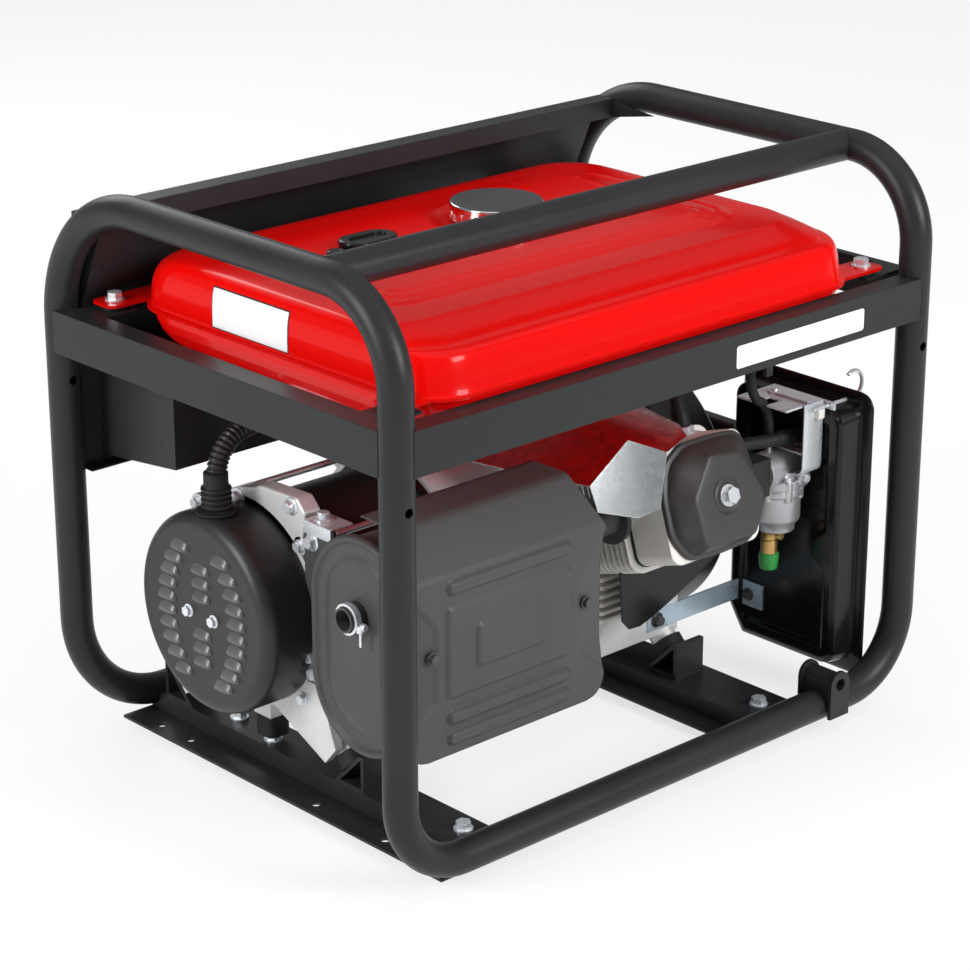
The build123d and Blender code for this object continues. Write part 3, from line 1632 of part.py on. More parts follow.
def air_cleaner_cover():
    """The outer cover that clips onto the tray."""
    cover = air_slab(0, air_joint, air_end)
    cover = fillet(cover.edges().group_by(Axis.X)[-1], air_edge)
    cover += air_slab(air_rim, air_joint, air_joint + air_rim)
    return cover - air_slab(-air_wall, air_joint, air_end - air_wall)


def filter_element():
    """The foam block between the tray and the cover."""
    y = (air_front + air_back) / 2
    z = (air_low + air_high) / 2
    start = air_box_x + air_wall + element_gap
    ys = (y - element_width / 2, y + element_width / 2)
    return block((start, start + element_depth), ys, (z - element_height / 2, z + element_height / 2))


control_top = deck + control_top_rise
control_x = (air_box_x - control_sheet - control_width, air_box_x - control_sheet)
choke_z = control_top - choke_drop


def zinc_brackets():
    """The carburettor's control bracket, the air cleaner's strap and the muffler's plate."""
    seat = carb_z + carb_d / 2
    bracket = block(control_x, (control_front, control_front + control_sheet), (seat, control_top))
    bracket += block(control_x, (control_front, carb_y), (seat, seat + control_sheet))
    ys = (control_front, control_plate_back)
    plate_x = (control_plate_left, control_x[1])
    bracket += block(plate_x, ys, (control_top - control_sheet, control_top))
    wall = (control_x[1] - control_sheet, control_x[1])
    bracket += block(wall, (choke_y - 2 * choke_wire_d, control_front + 2 * choke_wire_d),
                     (control_top - 2 * choke_drop, control_top))
    bracket -= rod((wall[0], choke_y, choke_z), (wall[1], choke_y, choke_z), choke_wire_d + 2 * running_fit)
    pin_top = control_top + governor_pin
    bracket += rod((governor_x, governor_y, control_top), (governor_x, governor_y, pin_top), governor_pin_d)
    bracket -= block((control_plate_left, inlet_x + hose_notch), (carb_y - hose_notch, carb_y + hose_notch),
                     (control_top - 2 * control_sheet, control_top + control_sheet))
    strap_z = (deck + strap_rise, deck + strap_rise + strap_height)
    face_y = (case_front_y - strap_sheet, case_front_y)
    strap = block((strap_left, air_box_x), face_y, strap_z)
    strap += block((air_box_x - strap_sheet, air_box_x), (case_front_y - strap_foot, case_front_y), strap_z)
    plate_z = (deck + muffler_plate_low_rise, deck + muffler_plate_high_rise)
    ys = (muffler_y + muffler_width / 2, muffler_plate_back)
    plate = block((bracket_x - muffler_plate, bracket_x), ys, plate_z)
    plate -= crank_rod(cover_x, bracket_x, cover_d + 2 * weld_gap)
    return group(bracket, strap, plate)


def choke_rod():
    """The bent wire that pulls the choke."""
    wire = choke_wire_d / 2
    start = control_x[1] - choke_tail
    bend = control_x[1] + choke_reach
    shaft = rod((start, choke_y, choke_z), (bend, choke_y, choke_z), choke_wire_d)
    arc = CenterArc((0, 0), choke_hook, -90, choke_hook_turn)
    plane = Plane(origin=(bend, choke_y, choke_z + choke_hook), x_dir=across_x, z_dir=(0, -1, 0))
    hook = sweep(Plane(origin=(bend, choke_y, choke_z), z_dir=across_x) * Circle(wire), path=plane * arc)
    return shaft + hook


governor_z = control_top + governor_gap


def governor_arm():
    """The flat lever that works the throttle."""
    high = governor_z + control_sheet
    half = governor_width / 2
    arm = rod((governor_x, governor_y, governor_z), (governor_x, governor_y, high), governor_hub_d)
    ys = (governor_y - governor_reach, governor_y)
    arm += block((governor_x - half, governor_x + half), ys, (governor_z, high))
    return arm - rod((governor_x, governor_y, governor_z), (governor_x, governor_y, high),
                     governor_pin_d + 2 * running_fit)


def spark_plug_lead():
    """The plug in the head, its rubber boot and the lead to the fan housing."""
    lift = head_height / 2
    face = cylinder_point(plug_reach, lift, plug_x)
    plug = rod(cylinder_point(plug_reach, lift - plug_length, plug_x), face, plug_d)
    boot_low = lift + plug_collar
    seat = cylinder_point(plug_reach, boot_low, plug_x)
    start = cylinder_point(plug_reach, boot_low + boot_length, plug_x)
    plug += rod(face, seat, boot_d)
    boot = rod(seat, start, boot_d)
    target_z = deck + lead_target_rise
    points = [
        start,
        cylinder_point(plug_reach, boot_low + 2 * boot_length, plug_x),
        (fan_x - boot_length, lead_target_y, target_z),
        (fan_x, lead_target_y, target_z),
    ]
    path = FilletPolyline(*points, radius=lead_bend)
    lead = sweep(Plane(origin=start, z_dir=(0, tilt_sin, tilt_cos)) * Circle(lead_d / 2), path=path)
    return group(plug, boot, lead)


# Muffler and heat shield

def stadium(grow):
    """The muffler's cross-section, grown or shrunk all round."""
    outline = SlotOverall(muffler_height + 2 * grow, muffler_width + 2 * grow, rotation=90)
    return Pos(muffler_y, muffler_z) * outline


def muffler_slice(grow, x_low, x_high):
    """A slice of the muffler's cross-section."""
    return extrude(Plane.YZ.offset(x_low) * stadium(grow), x_high - x_low)


shield_screw_z = deck + shield_screw_rise
shield_mid = (shield_left + shield_right) / 2


def shield_screw_places():
    """X of the two side screws of the heat shield that reach the muffler."""
    return (muffler_x, muffler_end)


def muffler():
    """A hollow stadium drum with rolled rims, the pipe from the head, the outlet and its clamp."""
    drum = muffler_slice(0, muffler_x, muffler_end)
    drum += muffler_slice(muffler_rim, muffler_x, muffler_x + muffler_rim_length)
    drum += muffler_slice(muffler_rim, muffler_end - muffler_rim_length, muffler_end)
    out = cylinder_point(exhaust_reach, 0)
    joint = cylinder_x - head_width / 2 - port_boss
    drum += rod((muffler_end, out[1], out[2]), (joint, out[1], out[2]), exhaust_d)
    drum += rod((joint - exhaust_flange, out[1], out[2]), (joint, out[1], out[2]), exhaust_flange_d)
    tail_z = deck + tail_rise
    drum += rod((muffler_x - tail_length, tail_y, tail_z), (muffler_x, tail_y, tail_z), tail_d)
    for x in shield_screw_places():
        stud = (x, shield_front + shield_sheet, shield_screw_z)
        drum += rod(stud, (x, muffler_y, shield_screw_z), screw_across)
    drum -= muffler_slice(-muffler_wall, muffler_x + muffler_wall, muffler_end - muffler_wall)
    mouth = (muffler_end - 2 * muffler_wall, out[1], out[2])
    drum -= rod(mouth, (joint, out[1], out[2]), exhaust_d - 2 * exhaust_wall)
    drum -= rod((muffler_x - tail_length, tail_y, tail_z), (muffler_x + 2 * muffler_wall, tail_y, tail_z),
                tail_d - 2 * tail_wall)
    clamp_x = muffler_x - tail_length / 2
    ring = pipe((clamp_x - clamp_width / 2, tail_y, tail_z), (clamp_x + clamp_width / 2, tail_y, tail_z),
                tail_d + 2 * clamp_wall + 2 * weld_gap, tail_d + 2 * weld_gap)
    return group(drum, ring)


def heat_shield():
    """A bent sheet with raised ribs and a raised plain panel."""
    low = deck + shield_bottom_rise
    bend = deck + shield_bend_rise
    high = deck + shield_top_rise
    sheet = shield_sheet
    profile = [
        (shield_front, low),
        (shield_front, bend),
        (shield_slope_y, high),
        (shield_back_y, high),
        (shield_back_y, high - sheet),
        (shield_slope_y + sheet / 2, high - sheet),
        (shield_front + sheet, bend - sheet / 2),
        (shield_front + sheet, low),
    ]
    shield = side_plate(profile, shield_left, shield_right)
    for x, inward in ((shield_left, 1), (shield_right, -1)):
        points = [(x, low), (x + inward * shield_chamfer, low), (x, low + shield_chamfer_height)]
        shield -= front_plate(polygon(points), shield_front - sheet, shield_front + 3 * sheet)
        points = [(x, bend), (x, high), (x + inward * shield_top_inset, high)]
        shield -= front_plate(polygon(points), shield_front - sheet, shield_back_y)
    front = (shield_front - rib_proud, shield_front)
    for rise in rib_rises:
        rib = Pos(shield_mid, deck + rise) * SlotOverall(rib_length, rib_height)
        shield += front_plate(rib, *front)
    height = emboss_high_rise - emboss_low_rise
    middle = deck + (emboss_high_rise + emboss_low_rise) / 2
    frame = RectangleRounded(emboss_length, height, emboss_corner)
    shield += front_plate(Pos(shield_mid, middle) * frame, *front)
    plain = RectangleRounded(emboss_length - 2 * emboss_inset, height - 2 * emboss_inset, emboss_corner / 2)
    shield += front_plate(Pos(shield_mid, middle) * plain, front[0] - rib_proud, front[1])
    for x in shield_screw_places():
        shield -= rod((x, front[0] - rib_proud, shield_screw_z), (x, shield_front + sheet, shield_screw_z),
                      screw_shank_d + 2 * weld_gap)
    return shield


def engine_bolts():
    """Long stator bolts, cover screws, the rocker cover bolt and the shield screws."""
    bolts = []
    for y, z in long_bolt_places():
        reach = drive_x + drive_flange - bracket_x
        bolts.append(bolt((bracket_x, y, z), (-1, 0, 0), screw_across, long_bolt_d, reach))
    for side in (-1, 1):
        seat = (cover_x, crank_y + side * cover_screw_spread, crank_z)
        bolts.append(bolt(seat, (-1, 0, 0), screw_across, screw_shank_d, cover_screw_length))
    top = cylinder_point(rocker_reach + rocker_depth + rocker_pad_depth, 0)
    length = rocker_flange + rocker_depth + rocker_pad_depth + rocker_bolt_hold
    bolts.append(bolt(top, (0, -tilt_cos, tilt_sin), rocker_bolt_across, screw_shank_d, length))
    for x in shield_screw_places():
        seat = (x, shield_front, shield_screw_z)
        bolts.append(bolt(seat, (0, -1, 0), screw_across, screw_shank_d, shield_sheet))
    return group(*bolts)


# Control panel

panel_low = deck + panel_bottom_rise
panel_fold = deck + panel_fold_rise
panel_high = deck + panel_top_rise


def panel_box():
    """The bent panel sheet: upright face, leaning upper face, top flange, front lip and bottom return."""
    sheet = panel_sheet
    lip_low = panel_high - panel_lip
    profile = [
        (panel_y, panel_low),
        (panel_y, panel_fold),
        (panel_top_y, panel_high),
        (panel_lip_y, panel_high),
        (panel_lip_y, lip_low),
        (panel_lip_y + sheet, lip_low),
        (panel_lip_y + sheet, panel_high - sheet),
        (panel_top_y - sheet, panel_high - sheet),
        (panel_y - sheet, panel_fold - sheet / 2),
        (panel_y - sheet, panel_low + sheet),
        (panel_y - panel_return, panel_low + sheet),
        (panel_y - panel_return, panel_low),
    ]
    panel = side_plate(profile, -panel_half, panel_half)
    end_plate = [(panel_y, panel_fold), (panel_y, panel_high - panel_lip), (panel_top_y, panel_high)]
    tab_y = panel_lip_y - panel_tab
    end_tab = [(panel_top_y, panel_high), (tab_y, panel_high - panel_tab_drop), (panel_lip_y, lip_low)]
    for side in (-1, 1):
        xs = sorted((side * panel_half, side * (panel_half - sheet)))
        panel += side_plate(end_plate, *xs)
        panel += side_plate(end_tab, *xs)
    return clear_of_tubes(panel)


def rear_box(inset):
    """The rear cover's outer form, drawn in by an inset except where it meets the panel."""
    back = panel_y - panel_sheet
    top = deck + rear_top_rise - inset
    low = deck + rear_low_rise + inset
    deep = [(rear_deep_y + inset, low), (back, low - rear_droop), (back, top), (rear_deep_y + inset, top)]
    form = side_plate(deep, rear_left + inset, rear_step - inset)
    high = deck + rear_high_rise + inset
    xs = (rear_step - 2 * inset, rear_right - inset)
    return form + block(xs, (rear_shallow_y + inset, back), (high, top))


def panel_rear_cover():
    """The stepped cover over the wiring behind the panel."""
    return rear_box(0) - rear_box(rear_sheet)


meter_face = panel_y + meter_depth - meter_recess
breaker_face = panel_y + breaker_depth
switch_face = panel_y + switch_depth
socket_face = panel_y + socket_depth
button_face = panel_y + button_sleeve
toggle_y = breaker_face - toggle_thickness / 2


def panel_fittings():
    """Meter case, switch barrel, breaker body, button sleeve, sockets and terminals."""
    half = meter_size / 2
    ys = (panel_y, panel_y + meter_depth)
    meter = block((meter_x - half, meter_x + half), ys, (row_z - half, row_z + half))
    inner = half - meter_wall
    meter -= block((meter_x - inner, meter_x + inner), (meter_face, ys[1]), (row_z - inner, row_z + inner))
    meter += rod((meter_x, meter_face, row_z), (meter_x, meter_face + meter_recess / 2, row_z), needle_pin_d)
    switch = rod((switch_x, panel_y, row_z), (switch_x, switch_face, row_z), switch_d)
    half = breaker_width / 2
    breaker = block((breaker_x - half, breaker_x + half), (panel_y, breaker_face),
                    (row_z - breaker_height / 2, row_z + breaker_height / 2))
    slot = toggle_width / 2 + toggle_gap
    breaker -= block((breaker_x - slot, breaker_x + slot), (panel_y + toggle_gap, breaker_face),
                     (row_z - toggle_slot / 2, row_z + toggle_slot / 2))
    sleeve = pipe((button_x, panel_y, row_z), (button_x, button_face, row_z), button_sleeve_d,
                  button_d + 2 * button_gap)
    fittings = [meter, switch, breaker, sleeve]
    for x in socket_xs:
        socket = rod((x, panel_y, row_z), (x, socket_face, row_z), socket_d)
        well = (x, socket_face - socket_well, row_z)
        fittings.append(socket - rod(well, (x, socket_face, row_z), socket_well_d))
    for x in terminal_xs:
        z = deck + terminal_rise
        fittings.append(rod((x, panel_y, z), (x, panel_y + terminal_depth, z), terminal_d))
    return group(*fittings)


def meter_needle():
    """The thin pointer on the meter's pin."""
    near = meter_face + needle_thickness
    far = near + needle_thickness
    half = needle_width / 2
    hub = rod((meter_x, near, row_z), (meter_x, far, row_z), needle_pin_d * 2)
    pointer = block((meter_x - needle_length, meter_x), (near, far), (row_z - half, row_z + half))
    hole = rod((meter_x, near, row_z), (meter_x, far, row_z), needle_pin_d + 2 * running_fit)
    return hub + pointer - hole


def engine_switch_key():
    """The turning key grip in front of the switch barrel."""
    near = switch_face + lid_gap
    knob = rod((switch_x, near, row_z), (switch_x, near + key_depth, row_z), key_d)
    half = key_d / 2
    middle = near + key_collar
    for side in (-1, 1):
        xs = sorted((switch_x + side * key_blade / 2, switch_x + side * half))
        knob -= block(xs, (middle, near + key_depth), (row_z - half, row_z + half))
    return knob


def breaker_toggle():
    """The rocking lever in the breaker's slot."""
    half = toggle_width / 2
    pivot = rod((breaker_x - half, toggle_y, row_z), (breaker_x + half, toggle_y, row_z), toggle_thickness)
    side = toggle_thickness / 2
    return pivot + block((breaker_x - half, breaker_x + half), (toggle_y, toggle_y + toggle_length),
                         (row_z - side, row_z + side))


def reset_button():
    """The push button in its sleeve."""
    near = panel_y + button_travel + lid_gap
    return rod((button_x, near, row_z), (button_x, near + button_length, row_z), button_d)


lid_y = socket_face + lid_gap
lid_hinge_z = row_z + socket_d / 2


def socket_lid(x):
    """A sprung lid over one socket, hinged at the top."""
    far = lid_y + lid_thickness
    lid = rod((x, lid_y, row_z), (x, far, row_z), lid_d)
    half = lid_hinge_length / 2
    axis_y = lid_y + lid_thickness / 2 + lid_hinge_out
    lid += block((x - half, x + half), (lid_y, far), (row_z, lid_hinge_z))
    lid += rod((x - half, axis_y, lid_hinge_z), (x + half, axis_y, lid_hinge_z), lid_hinge_d)
    return lid - block((x - socket_d, x + socket_d), (panel_y, lid_y), (row_z, lid_hinge_z + lid_hinge_d))


# Conduit

conduit_low = crank_z + cover_d / 2 + weld_gap
conduit_z = deck + conduit_rise
conduit_steady = Vector(1, -1, 0)


def conduit_path():
    """The conduit's centre line: up from its gland, then along and square into the panel's rear cover."""
    points = [
        (conduit_x, crank_y, conduit_low + gland_length),
        (conduit_x, crank_y, conduit_z),
        (conduit_end_x, conduit_turn_y, conduit_z),
        (conduit_end_x, rear_deep_y, conduit_z),
    ]
    return FilletPolyline(*points, radius=conduit_bend)


def conduit_ring(path, share, diameter):
    """A circle square to the conduit's centre line at a share of its length."""
    tangent = path % share
    level = conduit_steady - tangent * conduit_steady.dot(tangent)
    return Plane(origin=path @ share, x_dir=level, z_dir=tangent) * Circle(diameter / 2)


def conduit():
    """The ribbed conduit with its bore, and the ribbed gland on the alternator's cover."""
    path = conduit_path()
    end_share = conduit_d / path.length
    rib_share = (1 - 2 * end_share) / conduit_ribs
    segments = []
    for low, high in ((0, end_share), (1 - end_share, 1)):
        rings = [conduit_ring(path, low, conduit_root_d), conduit_ring(path, high, conduit_root_d)]
        segments.append(loft(rings, ruled=True))
    for index in range(conduit_ribs):
        start = end_share + rib_share * index
        rings = [
            conduit_ring(path, start, conduit_root_d),
            conduit_ring(path, start + rib_share * rib_crest_start, conduit_d),
            conduit_ring(path, start + rib_share * rib_crest_end, conduit_d),
            conduit_ring(path, start + rib_share * rib_root_start, conduit_root_d),
            conduit_ring(path, start + rib_share, conduit_root_d),
        ]
        segments.append(loft(rings, ruled=True))
    hose = segments[0] + segments[1:]
    hose -= sweep(Plane(origin=path @ 0, z_dir=path % 0) * Circle(conduit_bore_d / 2), path=path)
    top = conduit_low + gland_length
    flange_top = conduit_low + gland_flange
    collar = top - gland_flange
    gland = rod((conduit_x, crank_y, conduit_low), (conduit_x, crank_y, flange_top), gland_flange_d)
    gland += rod((conduit_x, crank_y, flange_top), (conduit_x, crank_y, collar), gland_d)
    gland += rod((conduit_x, crank_y, collar), (conduit_x, crank_y, top), gland_collar_d)
    pitch = (collar - flange_top) / gland_rings
    for index in range(gland_rings):
        z = flange_top + pitch * index
        gland -= pipe((conduit_x, crank_y, z), (conduit_x, crank_y, z + pitch / 2), gland_d, gland_collar_d)
    gland -= rod((conduit_x, crank_y, conduit_low), (conduit_x, crank_y, top), conduit_bore_d)
    return group(hose, gland)


parts = {
    "left_hoop": hoop(-1),
    "right_hoop": hoop(1),
    "top_rail": top_rail(),
    "mid_rails": mid_rails(),
    "base_plates": base_plates(),
    "vibration_mounts": vibration_mounts(),
    "feet": feet(),
    "axle_lugs": axle_lugs(),
    "frame_bolts": frame_bolts(),
    "tank_upper_shell": tank_upper_shell(),
    "tank_lower_shell": tank_lower_shell(),
    "fuel_strainer": fuel_strainer(),
    "fuel_cap": fuel_cap(),
    "fuel_gauge": fuel_gauge(),
    "fuel_cock": fuel_cock(),
    "fuel_cock_lever": fuel_cock_lever(),
    "fuel_hose": fuel_hose(),
    "alternator_end_cover": alternator_end_cover(),
    "rear_end_bracket": rear_end_bracket(),
    "stator_core": stator_core(),
    "stator_windings": stator_windings(),
    "drive_end_bracket": drive_end_bracket(),
    "rotor": rotor(),
    "voltage_regulator": voltage_regulator(),
    "bearings": bearings(),
    "engine_bolts": engine_bolts(),
    "crankcase": crankcase(),
    "crankcase_cover": crankcase_cover(),
    "crankshaft": crankshaft(),
    "piston_and_rod": piston_and_rod(),
    "cylinder_head": cylinder_head(),
    "rocker_cover": rocker_cover(),
    "oil_dipstick": oil_dipstick(),
    "flywheel": flywheel(),
    "fan_housing": fan_housing(),
    "recoil_housing": recoil_housing(),
    "recoil_reel": recoil_reel(),
    "recoil_handle": recoil_handle(),
    "cylinder_shroud": cylinder_shroud(),
    "carburettor": carburettor(),
    "air_cleaner_base": air_cleaner_base(),
    "air_cleaner_cover": air_cleaner_cover(),
    "filter_element": filter_element(),
    "zinc_brackets": zinc_brackets(),
    "choke_rod": choke_rod(),
    "governor_arm": governor_arm(),
    "spark_plug_lead": spark_plug_lead(),
    "muffler": muffler(),
    "heat_shield": heat_shield(),
    "panel_box": panel_box(),
    "panel_rear_cover": panel_rear_cover(),
    "panel_fittings": panel_fittings(),
    "meter_needle": meter_needle(),
    "engine_switch_key": engine_switch_key(),
    "breaker_toggle": breaker_toggle(),
    "reset_button": reset_button(),
    "socket_lid_left": socket_lid(socket_xs[0]),
    "socket_lid_right": socket_lid(socket_xs[1]),
    "conduit": conduit(),
}

os.makedirs("parts", exist_ok=True)
for name, shape in parts.items():
    export_step(shape, f"parts/{name}.step")
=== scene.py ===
import logging
import math
from dataclasses import dataclass, field
from enum import Enum
from typing import Callable, Iterable, Sequence

import bpy
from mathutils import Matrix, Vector


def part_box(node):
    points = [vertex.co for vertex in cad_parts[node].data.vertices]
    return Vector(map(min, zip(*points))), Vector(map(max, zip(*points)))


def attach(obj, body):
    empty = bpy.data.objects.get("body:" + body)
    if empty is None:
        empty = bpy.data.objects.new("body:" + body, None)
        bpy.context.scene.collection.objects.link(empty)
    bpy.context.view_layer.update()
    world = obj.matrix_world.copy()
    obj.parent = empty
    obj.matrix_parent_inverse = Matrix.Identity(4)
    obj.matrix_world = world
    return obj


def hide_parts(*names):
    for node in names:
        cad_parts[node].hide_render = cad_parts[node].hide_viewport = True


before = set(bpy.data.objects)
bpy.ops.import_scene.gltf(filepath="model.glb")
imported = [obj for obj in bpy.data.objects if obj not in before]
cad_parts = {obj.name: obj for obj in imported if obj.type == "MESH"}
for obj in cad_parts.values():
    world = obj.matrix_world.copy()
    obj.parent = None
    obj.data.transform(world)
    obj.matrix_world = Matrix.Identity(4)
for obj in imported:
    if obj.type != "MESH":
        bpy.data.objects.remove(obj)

LOG = logging.getLogger("generator")
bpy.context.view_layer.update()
MM = 0.001
TINY = 1e-6
# The height of the frame's underside and the crankshaft's place, in millimetres like the sizes below
DECK = 11.0
CRANK_Y = 62.0
CRANK_Z = DECK + 173.0
# The Mix node's sockets in its colour mode
MIX_A = 6
MIX_B = 7
MIX_RESULT = 2
UP = (0.0, 0.0, 1.0)
DOWN = (0.0, 0.0, -1.0)
FRONTWARD = (0.0, -1.0, 0.0)
LEFTWARD = (-1.0, 0.0, 0.0)

Color = tuple[float, float, float]
Point = tuple[float, float, float]
Flat = tuple[float, float]


class Grain(Enum):
    """The patterns of tone that the finishes choose from."""

    PATCHES = "patches"
    SPANGLE = "spangle"
    LAMINATED = "laminated"


# Shader groups

def new_group(name: str, inputs: dict[str, tuple[str, object]],
              outputs: dict[str, str]) -> bpy.types.NodeTree:
    """Make an empty shader group with named sockets.

    Args:
        name: The group's name.
        inputs: Socket name to socket type and default value.
        outputs: Socket name to socket type.

    Returns:
        The new node tree, with its Group Input and Group Output nodes.
    """
    tree = bpy.data.node_groups.new(name, "ShaderNodeTree")
    for label, (kind, value) in inputs.items():
        socket = tree.interface.new_socket(label, in_out="INPUT", socket_type=kind)
        socket.default_value = value
    for label, kind in outputs.items():
        tree.interface.new_socket(label, in_out="OUTPUT", socket_type=kind)
    tree.nodes.new("NodeGroupInput").name = "in"
    tree.nodes.new("NodeGroupOutput").name = "out"
    return tree


def add_node(tree: bpy.types.NodeTree, kind: str, **values: object) -> bpy.types.Node:
    """Add a node and set its properties or input sockets by name.

    Args:
        tree: The tree that gets the node.
        kind: Blender's node type.
        values: Property names, or input socket names with spaces as underscores.

    Returns:
        The new node.
    """
    node = tree.nodes.new(kind)
    for key, value in values.items():
        if hasattr(node, key):
            setattr(node, key, value)
        else:
            node.inputs[key.replace("_", " ")].default_value = value
    return node


def surface_group() -> bpy.types.NodeTree:
    """Fine relief over rounded edges, and slow patches of tone.

    Returns:
        A group with Normal and Tone outputs.
    """
    tree = new_group(
        "worked_surface",
        {
            "Scale": ("NodeSocketFloat", 900.0),
            "Relief": ("NodeSocketFloat", 0.1),
            "Edge": ("NodeSocketFloat", 0.001),
            "Patch Scale": ("NodeSocketFloat", 9.0),
        },
        {"Normal": "NodeSocketVector", "Tone": "NodeSocketFloat"},
    )
    link = tree.links.new
    inputs = tree.nodes["in"].outputs
    outputs = tree.nodes["out"].inputs
    place = add_node(tree, "ShaderNodeTexCoord")
    fine = add_node(tree, "ShaderNodeTexNoise", Detail=3.0, Roughness=0.55)
    link(place.outputs["Object"], fine.inputs["Vector"])
    link(inputs["Scale"], fine.inputs["Scale"])
    rounded = add_node(tree, "ShaderNodeBevel", samples=4)
    link(inputs["Edge"], rounded.inputs["Radius"])
    bump = add_node(tree, "ShaderNodeBump", Distance=0.0004)
    link(inputs["Relief"], bump.inputs["Strength"])
    link(fine.outputs["Fac"], bump.inputs["Height"])
    link(rounded.outputs["Normal"], bump.inputs["Normal"])
    link(bump.outputs["Normal"], outputs["Normal"])
    slow = add_node(tree, "ShaderNodeTexNoise", Detail=4.0, Roughness=0.6)
    link(place.outputs["Object"], slow.inputs["Vector"])
    link(inputs["Patch Scale"], slow.inputs["Scale"])
    tone = add_node(tree, "ShaderNodeMapRange", From_Min=0.3, From_Max=0.7)
    link(slow.outputs["Fac"], tone.inputs["Value"])
    link(tone.outputs["Result"], outputs["Tone"])
    return tree


def spangle_group() -> bpy.types.NodeTree:
    """The crystal patches of hot-dip zinc.

    Returns:
        A group with a Patch output from 0 to 1.
    """
    tree = new_group("zinc_spangle", {"Scale": ("NodeSocketFloat", 160.0)}, {"Patch": "NodeSocketFloat"})
    place = add_node(tree, "ShaderNodeTexCoord")
    cells = add_node(tree, "ShaderNodeTexVoronoi", Randomness=1.0)
    tree.links.new(place.outputs["Object"], cells.inputs["Vector"])
    tree.links.new(tree.nodes["in"].outputs["Scale"], cells.inputs["Scale"])
    split = add_node(tree, "ShaderNodeSeparateColor")
    tree.links.new(cells.outputs["Color"], split.inputs["Color"])
    tree.links.new(split.outputs["Red"], tree.nodes["out"].inputs["Patch"])
    return tree


def lamination_group() -> bpy.types.NodeTree:
    """Thin stacked plates across the crankshaft line.

    Returns:
        A group with a Plate output from 0 to 1.
    """
    tree = new_group("stacked_plates", {"Scale": ("NodeSocketFloat", 300.0)}, {"Plate": "NodeSocketFloat"})
    place = add_node(tree, "ShaderNodeTexCoord")
    bands = add_node(tree, "ShaderNodeTexWave", wave_type="BANDS", bands_direction="X", Distortion=0.4)
    tree.links.new(place.outputs["Object"], bands.inputs["Vector"])
    tree.links.new(tree.nodes["in"].outputs["Scale"], bands.inputs["Scale"])
    tree.links.new(bands.outputs["Fac"], tree.nodes["out"].inputs["Plate"])
    return tree


GROUPS: dict[str, bpy.types.NodeTree] = {
    "surface": surface_group(),
    "spangle": spangle_group(),
    "plates": lamination_group(),
}


@dataclass(frozen=True)
class Finish:
    """One surface finish, made once and shared by the pieces that wear it."""

    name: str
    color: Color
    roughness: float
    shade: Color
    metallic: float = 0.0
    coat: float = 0.0
    specular: float = 0.5
    grain: Grain = Grain.PATCHES
    scale: float = 900.0
    relief: float = 0.1
    edge: float = 0.0008
    patch_scale: float = 9.0
    coat_roughness: float = 0.04
    roughness_spread: float = 0.12

    def material(self) -> bpy.types.Material:
        """Build the material, or return it where it already exists.

        Returns:
            The material of this finish.
        """
        found = bpy.data.materials.get(self.name)
        if found is not None:
            return found
        made = bpy.data.materials.new(self.name)
        made.use_nodes = True
        tree = made.node_tree
        link = tree.links.new
        shader = tree.nodes["Principled BSDF"]
        shader.inputs["Metallic"].default_value = self.metallic
        shader.inputs["Specular IOR Level"].default_value = self.specular
        shader.inputs["Coat Weight"].default_value = self.coat
        shader.inputs["Coat Roughness"].default_value = self.coat_roughness
        surface = add_node(tree, "ShaderNodeGroup", node_tree=GROUPS["surface"], Scale=self.scale,
                           Relief=self.relief, Edge=self.edge, Patch_Scale=self.patch_scale)
        tone = surface.outputs["Tone"]
        if self.grain is Grain.SPANGLE:
            tone = add_node(tree, "ShaderNodeGroup", node_tree=GROUPS["spangle"]).outputs["Patch"]
        if self.grain is Grain.LAMINATED:
            tone = add_node(tree, "ShaderNodeGroup", node_tree=GROUPS["plates"]).outputs["Plate"]
        paint = add_node(tree, "ShaderNodeMix", data_type="RGBA")
        paint.inputs[MIX_A].default_value = (*self.color, 1.0)
        paint.inputs[MIX_B].default_value = (*self.shade, 1.0)
        link(tone, paint.inputs["Factor"])
        link(paint.outputs[MIX_RESULT], shader.inputs["Base Color"])
        rough = add_node(tree, "ShaderNodeMapRange")
        rough.inputs["To Min"].default_value = self.roughness * (1.0 - self.roughness_spread)
        rough.inputs["To Max"].default_value = min(1.0, self.roughness * (1.0 + self.roughness_spread))
        link(tone, rough.inputs["Value"])
        link(rough.outputs["Result"], shader.inputs["Roughness"])
        link(surface.outputs["Normal"], shader.inputs["Normal"])
        return made


FRAME_BLACK = Finish("frame_black_coat", (0.0165, 0.0172, 0.0185), 0.38, (0.021, 0.0218, 0.023),
                     specular=0.22, scale=1500.0, relief=0.16, edge=0.0012)
TANK_RED = Finish("tank_red_enamel", (0.7, 0.0025, 0.0015), 0.24, (0.67, 0.002, 0.001), coat=0.2,
                  specular=0.07, scale=240.0, relief=0.015, edge=0.0015, patch_scale=3.0)
SHIELD_GREY = Finish("shield_grey_paint", (0.062, 0.061, 0.061), 0.42, (0.055, 0.054, 0.054),
                     specular=0.25, scale=1300.0, relief=0.14, edge=0.0012)
COVER_BLACK = Finish("cover_black_paint", (0.016, 0.016, 0.016), 0.38, (0.02, 0.02, 0.02), specular=0.4,
                     scale=1200.0, relief=0.1, edge=0.0012)
# Lighter grey than the cover's black: a painted highlight standing in for the light on the hoods' upturned
# faces.
LOUVRE_GREY = Finish("louvre_painted_highlight_grey", (0.075, 0.075, 0.077), 0.3, (0.11, 0.11, 0.113), specular=0.5,
                     scale=900.0, relief=0.1)
CAST_ALUMINIUM = Finish("raw_casting", (0.74, 0.74, 0.735), 0.46, (0.62, 0.62, 0.615), metallic=0.45,
                        scale=1000.0, relief=0.5, edge=0.0018, patch_scale=22.0)
